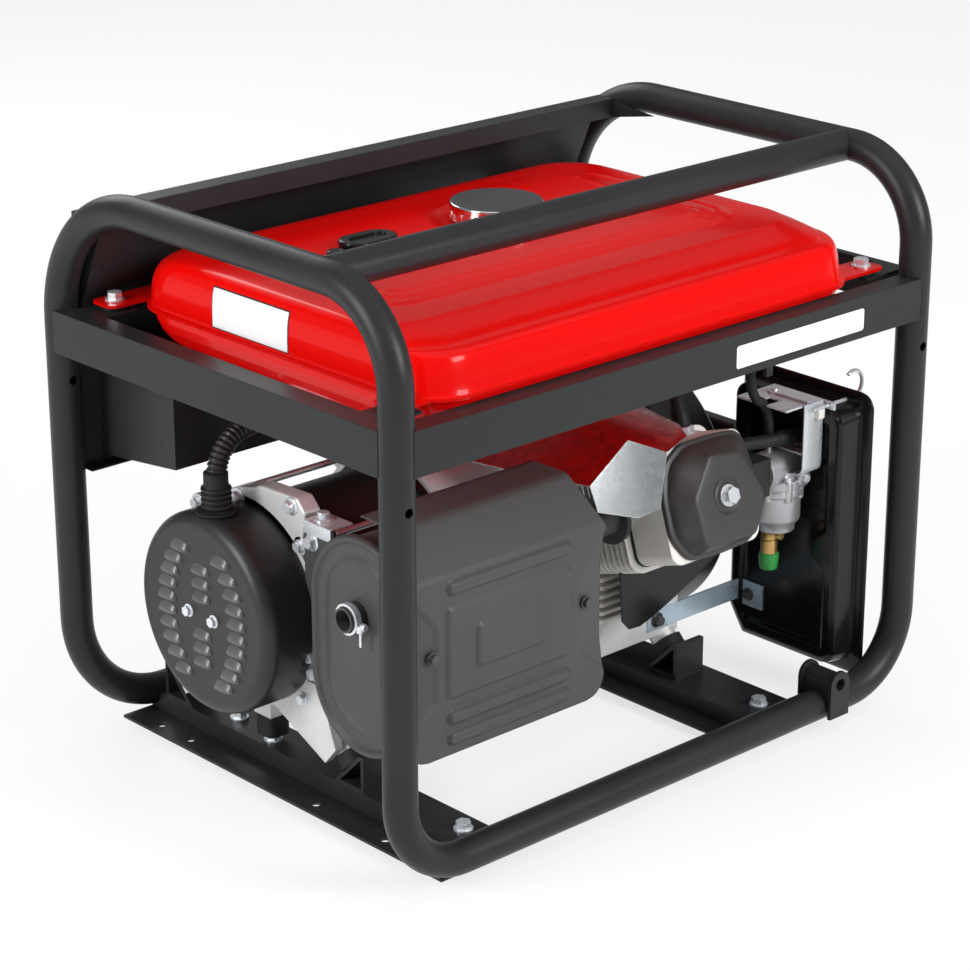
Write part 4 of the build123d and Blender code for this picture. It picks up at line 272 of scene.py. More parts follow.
HEAD_CAST = Finish("pale_casting", (0.78, 0.765, 0.73), 0.55, (0.68, 0.665, 0.63), metallic=0.1,
                   scale=1100.0, relief=0.5, edge=0.0018, patch_scale=26.0)
ZINC = Finish("bright_zinc", (0.78, 0.81, 0.84), 0.28, (0.68, 0.72, 0.77), metallic=0.6, scale=700.0,
              relief=0.08, edge=0.0006, patch_scale=30.0)
BLUE_ZINC = Finish("blue_zinc", (0.52, 0.62, 0.7), 0.26, (0.42, 0.54, 0.64), metallic=0.5, scale=700.0,
                   relief=0.06, edge=0.0008, patch_scale=24.0)
GALVANISED = Finish("galvanised_sheet", (0.78, 0.81, 0.82), 0.2, (0.5, 0.53, 0.55), metallic=1.0,
                    grain=Grain.SPANGLE, relief=0.04, edge=0.0008)
CORE_STEEL = Finish("core_plates", (0.012, 0.012, 0.013), 0.4, (0.02, 0.02, 0.02), metallic=0.2,
                    grain=Grain.LAMINATED, relief=0.1)
COPPER = Finish("varnished_copper", (0.5, 0.17, 0.06), 0.35, (0.38, 0.11, 0.04), metallic=0.8,
                scale=500.0, relief=0.4)
BRASS = Finish("brass_fitting", (0.55, 0.37, 0.13), 0.3, (0.45, 0.29, 0.1), metallic=0.9, relief=0.1)
CHROME = Finish("chrome_rim", (0.8, 0.8, 0.8), 0.12, (0.7, 0.7, 0.7), metallic=1.0, relief=0.03)
CAP_GREY = Finish("cap_grey", (0.042, 0.042, 0.046), 0.3, (0.036, 0.036, 0.04), specular=0.35,
                  relief=0.05)
RUBBER = Finish("black_rubber", (0.011, 0.011, 0.011), 0.6, (0.017, 0.017, 0.017), specular=0.25,
                scale=600.0, relief=0.2, edge=0.0012)
MOULDING = Finish("matte_moulding", (0.013, 0.013, 0.014), 0.4, (0.018, 0.018, 0.019), specular=0.35,
                  scale=1400.0, relief=0.2, edge=0.001)
GLOSS_MOULDING = Finish("gloss_moulding", (0.006, 0.0065, 0.007), 0.16, (0.008, 0.0085, 0.009),
                        specular=0.3, scale=300.0, relief=0.03, edge=0.002)
RED_MOULDING = Finish("red_moulding", (0.55, 0.02, 0.015), 0.3, (0.5, 0.02, 0.015))
GREEN_CAP = Finish("green_cap", (0.015, 0.22, 0.035), 0.4, (0.02, 0.27, 0.05), edge=0.001)
FOAM = Finish("filter_foam", (0.2, 0.18, 0.13), 0.9, (0.14, 0.12, 0.09), scale=900.0, relief=0.8)
ROCKER_DARK = Finish("rocker_dark_paint", (0.044, 0.041, 0.04), 0.4, (0.038, 0.036, 0.035), specular=0.35,
                     scale=900.0, relief=0.14, edge=0.0015)
INSULATOR = Finish("insulator_block", (0.014, 0.014, 0.014), 0.5, (0.02, 0.02, 0.02), specular=0.3,
                   edge=0.001)
DARK_STEEL = Finish("dark_steel", (0.09, 0.09, 0.09), 0.3, (0.06, 0.06, 0.06), metallic=0.6, relief=0.1)
PLATE_WHITE = Finish("plain_plate", (0.86, 0.86, 0.87), 0.6, (0.82, 0.82, 0.83), specular=0.1,
                     relief=0.03, patch_scale=40.0)
CARB_CAST = Finish("carburettor_casting", (0.46, 0.465, 0.48), 0.36, (0.36, 0.365, 0.38), metallic=0.7,
                   scale=1100.0, relief=0.4, edge=0.0014, patch_scale=30.0)


# Meshes

def smooth(value: float) -> float:
    """Ease a value from 0 to 1, held outside that span."""
    held = min(1.0, max(0.0, value))
    return held * held * (3.0 - 2.0 * held)


def box_distance(u: float, v: float, half_u: float, half_v: float, corner: float) -> float:
    """Distance to a rounded rectangle centred on zero, negative inside.

    Args:
        u: The first coordinate.
        v: The second coordinate.
        half_u: Half its length.
        half_v: Half its width.
        corner: The corners' radius.

    Returns:
        The signed distance.
    """
    out_u = abs(u) - half_u + corner
    out_v = abs(v) - half_v + corner
    return math.hypot(max(out_u, 0.0), max(out_v, 0.0)) + min(max(out_u, out_v), 0.0) - corner


def polar_radius(corners: Sequence[Flat], turn: float) -> float:
    """How far a ray from zero goes before it leaves a polygon.

    Args:
        corners: The polygon's corners, in order round zero.
        turn: The ray's angle.

    Returns:
        The distance along the ray.
    """
    cos, sin = math.cos(turn), math.sin(turn)
    for (u, v), (s, t) in zip(corners, [*corners[1:], corners[0]]):
        du, dv = s - u, t - v
        bottom = cos * dv - sin * du
        if abs(bottom) < TINY:
            continue
        reach = (u * dv - v * du) / bottom
        share = (u * sin - v * cos) / bottom
        if reach > 0.0 and -TINY <= share <= 1.0 + TINY:
            return reach
    return 0.0


def soft_polar(corners: Sequence[Flat], count: int, spread: float) -> list[float]:
    """A polygon's radius at even angles, with its corners eased.

    Args:
        corners: The polygon's corners, in order round zero.
        count: How many angles.
        spread: How far each side the corners are averaged, in radians.

    Returns:
        The radii in order.
    """
    shares = (-1.0, -0.5, 0.0, 0.5, 1.0)
    radii = []
    for index in range(count):
        turn = math.tau * index / count
        radii.append(sum(polar_radius(corners, turn + share * spread) for share in shares) / len(shares))
    return radii


def spline_line(route: Sequence[Point]) -> list[Vector]:
    """Read the smooth line of a spline through a route.

    Args:
        route: The spline's control points.

    Returns:
        Closely spaced points along it.
    """
    curve = bpy.data.curves.new("route", "CURVE")
    curve.dimensions = "3D"
    spline = curve.splines.new("NURBS")
    spline.points.add(len(route) - 1)
    for point, place in zip(spline.points, route):
        point.co = (*place, 1.0)
    spline.order_u = 3
    spline.use_endpoint_u = True
    spline.resolution_u = 40
    holder = bpy.data.objects.new("route", curve)
    line = bpy.data.meshes.new_from_object(holder)
    points = [vertex.co.copy() for vertex in line.vertices]
    bpy.data.objects.remove(holder)
    bpy.data.curves.remove(curve)
    bpy.data.meshes.remove(line)
    return points


def even_line(start: Flat, end: Flat, steps: int) -> list[Flat]:
    """Even points along a straight line.

    Args:
        start: The point before its first one.
        end: Its last point.
        steps: How many points.

    Returns:
        The line's points after its start.
    """
    one, two = Vector(start), Vector(end)
    return [tuple(one.lerp(two, step / steps)) for step in range(1, steps + 1)]


@dataclass(frozen=True)
class BoltHead:
    """A hexagon head: its size across flats, its height, its washer's radius, and shares of those."""

    width: float
    height: float
    washer: float = 0.0
    washer_sheet: float = 0.12
    washer_edge: float = 0.4
    washer_wall: float = 0.8
    wall: float = 0.85
    top: float = 0.9
    corner: float = 1.1
    points: int = 24
    washer_points: int = 32


@dataclass
class Sketch:
    """Collects points and faces in millimetres and turns them into one mesh."""

    points: list[Point] = field(default_factory=list)
    faces: list[tuple[int, ...]] = field(default_factory=list)

    def ring(self, points: Iterable[Sequence[float]]) -> list[int]:
        """Add points without joining them.

        Args:
            points: The points in order.

        Returns:
            Their indices.
        """
        start = len(self.points)
        self.points.extend(tuple(point) for point in points)
        return list(range(start, len(self.points)))

    def bridge(self, one: list[int], two: list[int], closed: bool = True) -> None:
        """Join two rings of equal length with four-sided faces.

        Args:
            one: The first ring's indices.
            two: The second ring's indices.
            closed: Whether the last points join the first.
        """
        count = len(one)
        for index in range(count if closed else count - 1):
            after = (index + 1) % count
            self.faces.append((one[index], one[after], two[after], two[index]))

    def cap(self, ring: list[int]) -> None:
        """Close a ring with one face."""
        self.faces.append(tuple(ring))

    def loft(self, rings: Sequence[Iterable[Sequence[float]]], ends: bool = True) -> None:
        """Join closed rings in order, with flat ends if asked for.

        Args:
            rings: The rings, each with the same number of points.
            ends: Whether the first and last rings are closed.
        """
        indices = [self.ring(ring) for ring in rings]
        for one, two in zip(indices, indices[1:]):
            self.bridge(one, two)
        if ends:
            self.cap(list(reversed(indices[0])))
            self.cap(indices[-1])

    def prism(self, outline: Sequence[Flat], levels: Flat,
              place: Callable[[float, float, float], Point]) -> None:
        """Stand a closed outline between two levels.

        Args:
            outline: The outline's points.
            levels: Where it starts and ends.
            place: Turns an outline's point and a level into a point in the frame.
        """
        self.loft([[place(u, v, level) for u, v in outline] for level in levels])

    def grid(self, rows: Sequence[Iterable[Sequence[float]]]) -> list[list[int]]:
        """Join open rows of points in order.

        Args:
            rows: The rows, each with the same number of points.

        Returns:
            The indices of each row.
        """
        indices = [self.ring(row) for row in rows]
        for one, two in zip(indices, indices[1:]):
            self.bridge(one, two, closed=False)
        return indices

    def take(self, node: str, test: Callable[[Vector], bool]) -> None:
        """Copy the faces of a CAD node whose corners all pass a test.

        Args:
            node: The CAD node's name.
            test: The test of a corner, in millimetres.
        """
        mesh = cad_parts[node].data
        for face in mesh.polygons:
            corners = [mesh.vertices[index].co / MM for index in face.vertices]
            if all(test(corner) for corner in corners):
                self.cap(self.ring(corners))

    def tube(self, line: Sequence[Vector], radii: Callable[[float], float], count: int = 20,
             stations: int = 0) -> None:
        """Run a round tube along a line, its rings kept from twisting by one steady direction.

        Args:
            line: The points along its middle.
            radii: The radius at a distance along the line.
            count: Points round the tube.
            stations: How many even steps along the line, or none for its own points.
        """
        steady = Vector((1.0, -1.0, 0.0))
        lengths = [0.0]
        for one, two in zip(line, line[1:]):
            lengths.append(lengths[-1] + (two - one).length)
        steps = stations or len(line) - 1
        rings = []
        place = 0
        for index in range(steps + 1):
            reach = lengths[-1] * index / steps
            while place < len(line) - 2 and lengths[place + 1] < reach:
                place += 1
            share = (reach - lengths[place]) / max(lengths[place + 1] - lengths[place], TINY)
            centre = line[place].lerp(line[place + 1], share)
            tangent = (line[place + 1] - line[place]).normalized()
            across = (steady - tangent * steady.dot(tangent)).normalized()
            rings.append(circle(centre, across, tangent.cross(across), radii(reach), count))
        self.loft(rings)

    def turned(self, base: Sequence[float], axis: Sequence[float], profile: Sequence[Flat], count: int = 48,
               ends: bool = True) -> None:
        """Turn a profile round an axis.

        Args:
            base: A point on the axis.
            axis: The axis' unit direction.
            profile: Pairs of radius and distance along the axis.
            count: Points round the axis.
            ends: Whether flat ends close it.
        """
        along = Vector(axis)
        across = along.orthogonal().normalized()
        up = along.cross(across)
        rings = []
        for radius, reach in profile:
            rings.append(circle(Vector(base) + along * reach, across, up, radius, count))
        self.loft(rings, ends=ends)

    def hexagon(self, seat: Sequence[float], axis: Sequence[float], head: BoltHead) -> None:
        """Set a hexagon bolt head with a chamfered top, over its washer if it has one.

        Args:
            seat: The middle of the face that it sits on.
            axis: The direction that it points in.
            head: The head's sizes.
        """
        along = Vector(axis)
        across = along.orthogonal().normalized()
        up = along.cross(across)
        thick = head.width * head.washer_sheet if head.washer else 0.0
        if head.washer:
            self.turned(seat, axis, [(head.washer, 0.0), (head.washer, thick * head.washer_wall),
                                     (head.washer - thick * head.washer_edge, thick)], head.washer_points)
        flat_turn = math.pi / 3
        rings = []
        for share, shrink in ((0.0, 1.0), (head.wall, 1.0), (1.0, head.top)):
            reach = thick + head.height * share
            ring = []
            for index in range(head.points):
                turn = math.tau * index / head.points
                flat = math.cos((turn + flat_turn / 2) % flat_turn - flat_turn / 2)
                radius = min(head.width / 2 / flat, head.width / 2 * head.corner) * shrink
                out = across * math.cos(turn) + up * math.sin(turn)
                ring.append(Vector(seat) + along * reach + out * radius)
            rings.append(ring)
        self.loft(rings)

    def build(self, name: str, finish: Finish, slot: str, *nodes: str, smooth_angle: float = 40.0,
              sheet: float = 0.0, rounding: float = 0.0) -> None:
        """Make the mesh object and hand it over as a piece of the fixed frame body.

        Args:
            name: The piece's name.
            finish: The finish that it wears.
            slot: The material slot that it stands for.
            nodes: The CAD nodes that it replaces.
            smooth_angle: Edges sharper than this many degrees stay sharp.
            sheet: The thickness that an open sheet is given, in millimetres.
            rounding: The radius that its edges are rounded to, in millimetres.
        """
        mesh = bpy.data.meshes.new(name)
        mesh.from_pydata([[value * MM for value in point] for point in self.points], [], self.faces)
        mesh.validate()
        mesh.materials.append(finish.material())
        made = bpy.data.objects.new(name, mesh)
        bpy.context.scene.collection.objects.link(made)
        bpy.context.view_layer.objects.active = made
        for item in bpy.context.selected_objects:
            item.select_set(False)
        made.select_set(True)
        bpy.ops.object.mode_set(mode="EDIT")
        bpy.ops.mesh.select_all(action="SELECT")
        bpy.ops.mesh.remove_doubles(threshold=TINY)
        bpy.ops.mesh.normals_make_consistent(inside=False)
        bpy.ops.object.mode_set(mode="OBJECT")
        bpy.ops.object.shade_smooth_by_angle(angle=math.radians(smooth_angle))
        if sheet:
            skin = made.modifiers.new("sheet", "SOLIDIFY")
            skin.thickness = sheet * MM
            skin.offset = 0.0
        if rounding:
            soft = made.modifiers.new("edges", "BEVEL")
            soft.width = rounding * MM
            soft.segments = 2
            soft.limit_method = "ANGLE"
        if sheet or rounding:
            made.modifiers.new("shading", "WEIGHTED_NORMAL")
        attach(made, "frame")
        if nodes:
            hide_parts(*nodes)
        LOG.info("piece %s wears %s", name, slot)


def circle(centre: Sequence[float], across: Sequence[float], up: Sequence[float], radius: float,
           count: int) -> list[Vector]:
    """Points round a circle.

    Args:
        centre: The circle's centre.
        across: A unit direction in its plane.
        up: The other unit direction.
        radius: Its radius.
        count: How many points.

    Returns:
        The points in order.
    """
    points = []
    for index in range(count):
        turn = math.tau * index / count
        out = Vector(across) * math.cos(turn) + Vector(up) * math.sin(turn)
        points.append(Vector(centre) + out * radius)
    return points


def rounded_rectangle(length: float, width: float, corner: float, steps: int) -> list[Flat]:
    """An outline with round corners, centred on zero.

    Args:
        length: Its size along the first axis.
        width: Its size along the second axis.
        corner: The corners' radius.
        steps: Points per corner.

    Returns:
        The outline's points, anticlockwise.
    """
    outline = []
    for quarter, (side, end) in enumerate(((1, 1), (-1, 1), (-1, -1), (1, -1))):
        for step in range(steps + 1):
            turn = math.radians(90 * (quarter + step / steps))
            u = side * (length / 2 - corner) + corner * math.cos(turn)
            v = end * (width / 2 - corner) + corner * math.sin(turn)
            outline.append((u, v))
    return outline


def dress(node: str, finish: Finish, *others: tuple[Finish, Callable[[Vector], bool]]) -> None:
    """Give a CAD node its finish, and other finishes where a test on the face's place holds.

    Args:
        node: The CAD node's name.
        finish: The finish of its other faces.
        others: Pairs of a finish and a test of a face's centre in millimetres.
    """
    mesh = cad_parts[node].data
    mesh.materials.clear()
    mesh.materials.append(finish.material())
    for other, _ in others:
        mesh.materials.append(other.material())
    for face in mesh.polygons:
        place = face.center / MM
        face.material_index = 0
        for index, (_, test) in enumerate(others):
            if test(place):
                face.material_index = index + 1
    LOG.info("dressed %s", node)


def dress_each(finish: Finish, *nodes: str) -> None:
    """Give one finish to several CAD nodes.

    Args:
        finish: The finish that they share.
        nodes: The CAD nodes' names.
    """
    for node in nodes:
        dress(node, finish)


@dataclass
class FrameAssembly:
    """The tube frame, its rails, base plates, mounts and bolts."""

    black: tuple[str, ...] = ("left_hoop", "right_hoop", "top_rail", "mid_rails", "base_plates", "axle_lugs")
    rail_front: float = -256.75
    strip_left: float = 66.0
    strip_right: float = 246.0
    strip_low: float = DECK + 408.0
    strip_high: float = DECK + 430.0
    strip_corner: float = 3.0
    strip_sheet: float = 0.3
    corner_steps: int = 5

    def strip(self) -> None:
        """Make the plain pale strip on the front rail."""
        outline = rounded_rectangle(self.strip_right - self.strip_left, self.strip_high - self.strip_low,
                                    self.strip_corner, self.corner_steps)
        x = (self.strip_left + self.strip_right) / 2
        z = (self.strip_low + self.strip_high) / 2
        sketch = Sketch()
        sketch.prism(outline, (self.rail_front, self.rail_front - self.strip_sheet),
                     lambda u, v, y: (x + u, y, z + v))
        sketch.build("plain_strip", PLATE_WHITE, "frame_black")

    def build(self) -> None:
        """Dress the frame's nodes and make the strip."""
        dress_each(FRAME_BLACK, *self.black)
        dress_each(RUBBER, "vibration_mounts", "feet")
        dress("frame_bolts", ZINC)
        self.strip()


@dataclass
class TankAssembly:
    """The fuel tank with its cap, gauge, tap and hose."""

    x: float = -10.0
    length: float = 564.0
    front: float = -231.0
    back: float = 194.0
    corner: float = 50.0
    seam: float = DECK + 447.5
    sheet: float = 1.5
    dome: float = 51.5
    end_run: float = 22.0
    front_run: float = 100.0
    back_run: float = 48.0
    fillet: float = 2.0
    end_power: float = 3.8
    back_power: float = 2.6
    seam_line: tuple[Flat, ...] = ((1.4, -0.2), (0.6, 0.5), (0.2, 1.6))
    seam_margin: float = 0.1
    wall_start: float = 2.0
    shoulder: tuple[Flat, ...] = ((0.0, 0.0), (0.05, 0.5), (0.09, 0.76), (0.25, 0.79), (0.28, 0.8),
                                  (0.31, 0.82), (0.65, 0.94), (0.68, 0.955), (0.71, 0.975),
                                  (0.74, 0.985), (1.0, 1.0))
    wall_steps: int = 60
    corner_steps: int = 12
    side_steps: int = 110
    row_steps: int = 96
    step_count: int = 3
    step_inset: float = 11.0
    step_pitch: float = 13.0
    step_ends: float = 14.0
    step_rise: float = 1.3
    step_edge: float = 3.2
    bead: float = 1.1
    bead_width: float = 2.0
    cap_x: float = 30.0
    cap_y: float = 30.0
    dish: float = 3.6
    dish_radius: float = 54.0
    dish_edge: float = 13.0
    neck: float = 31.0
    neck_top: float = DECK + 512.0
    cap_top: float = DECK + 520.0
    plate_back: float = 66.0
    plate_front: float = -42.0
    plate_low: float = DECK + 452.0
    plate_high: float = DECK + 489.0
    plate_border: float = 1.2
    plate_sheet: float = 0.2
    plate_lift: float = 0.45
    plate_steps: int = 8
    hose: float = 5.0
    hose_route: tuple[Point, ...] = ((205.0, -150.0, DECK + 358.0), (205.0, -150.0, DECK + 321.0),
                                     (236.0, -150.0, DECK + 307.0), (236.0, -150.0, DECK + 270.0))

    def sides(self, front: float, back: float) -> list[Flat]:
        """How far a round corner draws in each row, and the row's place, from front to back.

        Args:
            front: The outline's front edge.
            back: The outline's back edge.

        Returns:
            Pairs of draw and Y.
        """
        draws = []
        for step in range(self.corner_steps + 1):
            turn = math.pi / 2 * step / self.corner_steps
            draws.append((self.corner * (1.0 - math.sin(turn)), self.corner * (1.0 - math.cos(turn))))
        rows = [(draw, front + rise) for draw, rise in draws]
        pitch = (back - front - 2 * self.corner) / self.side_steps
        rows += [(0.0, front + self.corner + pitch * step) for step in range(1, self.side_steps)]
        return rows + [(draw, back - rise) for draw, rise in reversed(draws)]

    def across(self, half: float) -> list[float]:
        """The columns' places along X between the round corners."""
        run = half - self.corner
        return [-run + 2 * run * step / self.row_steps for step in range(self.row_steps + 1)]

    def outline(self, half: float, front: float, back: float, z: float) -> list[Point]:
        """One level of the tank's wall, as a closed ring.

        Args:
            half: Half its length.
            front: Its front edge.
            back: Its back edge.
            z: Its height.

        Returns:
            The ring's points.
        """
        rows = self.sides(front, back)[1:-1]
        columns = self.across(half)
        ring = [(self.x + column, front, z) for column in columns]
        ring += [(self.x + half - draw, y, z) for draw, y in rows]
        ring += [(self.x + column, back, z) for column in reversed(columns)]
        return ring + [(self.x - half + draw, y, z) for draw, y in reversed(rows)]

    def relief(self, x: float, y: float) -> float:
        """How far the pressed steps and the filler dish lift or lower the flat top.

        Args:
            x: The place along X.
            y: The place along Y.

        Returns:
            The height over the flat top.
        """
        middle = (self.front + self.front_run + self.back - self.back_run) / 2
        half_x = self.length / 2 - self.end_run
        half_y = (self.back - self.back_run - self.front - self.front_run) / 2
        rise = 0.0
        for step in range(self.step_count):
            inset = self.step_inset + step * self.step_pitch
            away = box_distance(x - self.x, y - middle, half_x - inset - self.step_ends, half_y - inset,
                                self.corner - inset / 2)
            rise += self.step_rise * smooth(0.5 - away / self.step_edge)
            rise += self.bead * math.exp(-((away + self.bead_width) / self.bead_width) ** 2)
        reach = math.hypot(x - self.cap_x, y - self.cap_y)
        return rise - self.dish * (1.0 - smooth((reach - self.dish_radius) / self.dish_edge))

    def shell(self) -> None:
        """Make the pressed upper shell: seam, walls and the stepped top."""
        sketch = Sketch()
        top = self.seam + self.sheet
        sketch.take("tank_upper_shell", lambda corner: corner.z < top + self.seam_margin)
        half = self.length / 2
        rings = []
        for grow, rise in self.seam_line:
            rings.append(self.outline(half + grow, self.front - grow, self.back + grow, top + rise))
        line = spline_line([(draw, rise, 0.0) for draw, rise in self.shoulder])
        for step in range(1, self.wall_steps + 1):
            point = line[step * (len(line) - 1) // self.wall_steps]
            if self.dome * point.y < self.sheet + self.wall_start:
                continue
            end = self.end_run * self.drawn(point.y, self.end_power)
            back = self.back_run * self.drawn(point.y, self.back_power)
            rings.append(self.outline(half - end, self.front + self.front_run * point.x, self.back - back,
                                      self.seam + self.dome * point.y))
        sketch.loft(rings, ends=False)
        flat = self.seam + self.dome
        half -= self.end_run
        rows = []
        for draw, y in self.sides(self.front + self.front_run, self.back - self.back_run):
            row = []
            for step in range(self.row_steps + 1):
                x = self.x + (half - draw) * (2.0 * step / self.row_steps - 1.0)
                row.append((x, y, flat + self.relief(x, y)))
            rows.append(row)
        sketch.grid(rows)
        sketch.turned((self.cap_x, self.cap_y, flat - self.fillet), UP,
                      [(self.neck, 0.0), (self.neck, self.neck_top - flat + self.fillet)])
        sketch.build("tank_upper_pressing", TANK_RED, "tank_red", "tank_upper_shell", smooth_angle=32.0)

    def drawn(self, rise: float, power: float) -> float:
        """How far a full-bodied wall has drawn in at a share of its height."""
        return 1.0 - max(0.0, 1.0 - min(1.0, rise) ** power) ** (1.0 / power)

    def end_wall(self, z: float) -> float:
        """Where the tank's left end lies along X at a height."""
        share = min(1.0, max(0.0, (z - self.seam) / self.dome))
        return self.x - self.length / 2 + self.end_run * self.drawn(share, self.end_power)

    def plate(self, name: str, finish: Finish, slot: str, border: float, lift: float) -> None:
        """Make one layer of the plain plate on the tank's left end.

        Args:
            name: The layer's name.
            finish: Its finish.
            slot: The material slot that it stands for.
            border: How far it reaches past the plate's edge.
            lift: How far it stands off the tank.
        """
        rows = []
        height = self.plate_high - self.plate_low + 2 * border
        for step in range(self.plate_steps + 1):
            z = self.plate_low - border + height * step / self.plate_steps
            x = self.end_wall(z) - lift
            rows.append([(x, self.plate_front - border, z), (x, self.plate_back + border, z)])
        sketch = Sketch()
        sketch.grid(rows)
        sketch.build(name, finish, slot, sheet=self.plate_sheet)

    def fuel_line(self) -> None:
        """Make the rubber hose from the tap to the carburettor."""
        sketch = Sketch()
        sketch.tube(spline_line(self.hose_route), lambda reach: self.hose)
        sketch.build("fuel_line", RUBBER, "rubber_black", "fuel_hose")

    def build(self) -> None:
        """Make the shell and dress the tank's nodes."""
        self.shell()
        self.plate("plate_edge", MOULDING, "plastic_black", self.plate_border, self.plate_sheet)
        self.plate("plain_plate", PLATE_WHITE, "tank_red", 0.0, self.plate_lift)
        self.fuel_line()
        dress("tank_lower_shell", TANK_RED)
        dress_each(MOULDING, "fuel_strainer", "fuel_cock_lever")
        dress("fuel_cap", CHROME, (CAP_GREY, lambda place: place.z > self.cap_top))
        dress("fuel_gauge", GLOSS_MOULDING)
        dress("fuel_cock", BRASS)


@dataclass
class AlternatorAssembly:
    """The alternator: end cover, brackets, stator, rotor and regulator."""

    face_x: float = -320.0
    pitch: float = 14.0
    rows: int = 10
    spread: float = 53.0
    circle: float = 77.0
    centre_start: float = 19.0
    centre_rows: int = 3
    hood_half: float = 13.6
    hood_height: float = 9.6
    hood_out: float = 4.6
    hood_power: float = 2.6
    hood_sink: float = 0.4
    hood_gap: float = 0.1
    hood_root: float = 0.5
    hood_columns: int = 16
    hood_steps: int = 8
    lug_x: float = -262.0
    lug_depth: float = 20.0
    lug_round: float = 2.5
    bolt: BoltHead = BoltHead(11.0, 6.0, 9.0)
    bolt_share: float = 0.9
    bolt_drop: float = 10.0
    shield_y: float = -200.0
    lug: tuple[Flat, ...] = ((44.0, 98.0), (14.0, 112.0), (-22.0, 122.0), (-74.0, 124.0),
                             (-86.0, 112.0), (-78.0, 70.0), (-20.0, 82.0))

    def places(self) -> list[Flat]:
        """The louvres' middles on the end cover's face.

        Returns:
            Pairs of Y and Z.
        """
        found = []
        for row in range(self.rows):
            dz = self.pitch * (row - (self.rows - 1) / 2)
            dy = self.spread * math.sqrt(1.0 - (dz / self.circle) ** 2)
            found += [(CRANK_Y - dy, CRANK_Z + dz), (CRANK_Y + dy, CRANK_Z + dz)]
        for row in range(self.centre_rows):
            dz = self.centre_start + self.pitch * row
            found += [(CRANK_Y, CRANK_Z - dz), (CRANK_Y, CRANK_Z + dz)]
        return found

    def louvres(self) -> None:
        """Make the pressed hoods over the end cover's slots."""
        sketch = Sketch()
        across = [2.0 * step / self.hood_columns - 1.0 for step in range(self.hood_columns + 1)]
        swells = [math.sqrt(max(0.0, 1.0 - abs(u) ** self.hood_power)) for u in across]
        for y, z in self.places():
            rows = []
            for step in range(self.hood_steps + 1):
                share = step / self.hood_steps
                row = []
                for u, swell in zip(across, swells):
                    out = self.hood_out * swell * math.sin(share * math.pi / 2)
                    rise = self.hood_height * (swell * (1.0 - share) - self.hood_sink)
                    row.append((self.face_x - self.hood_gap - out, y + self.hood_half * u, z + rise))
                rows.append(row)
            rows.append([(self.face_x + self.hood_root, place[1], place[2]) for place in rows[-1]])
            sketch.grid(rows)
        # The hoods wear a lighter grey than the cover, a painted highlight.
        sketch.build("cover_louvres", LOUVRE_GREY, "cover_black", smooth_angle=50.0)

    def casting_lug(self) -> None:
        """Make the cast lug on top of the rear bracket."""
        sketch = Sketch()
        sketch.prism(self.lug, (self.lug_x, self.lug_x + self.lug_depth),
                     lambda y, z, x: (x, CRANK_Y + y, CRANK_Z + z))
        sketch.build("bracket_lug", CAST_ALUMINIUM, "cast_aluminium", rounding=self.lug_round)

    def lug_bolts(self) -> None:
        """Make the bolts on the lug."""
        sketch = Sketch()
        for y, z in (self.lug[1], self.lug[3]):
            seat = (self.lug_x, CRANK_Y + y * self.bolt_share, CRANK_Z + z - self.bolt_drop)
            sketch.hexagon(seat, LEFTWARD, self.bolt)
        sketch.build("lug_bolts", ZINC, "zinc_steel")

    def build(self) -> None:
        """Make the louvres and dress the alternator's nodes."""
        self.louvres()
        self.casting_lug()
        self.lug_bolts()
        dress("alternator_end_cover", COVER_BLACK)
        dress_each(CAST_ALUMINIUM, "rear_end_bracket", "drive_end_bracket")
        dress_each(CORE_STEEL, "stator_core", "rotor")
        dress("stator_windings", COPPER)
        dress("voltage_regulator", MOULDING)
        dress("bearings", ZINC)
        dress("engine_bolts", ZINC,
              (DARK_STEEL, lambda place: place.x < 0.0 and place.y < self.shield_y))


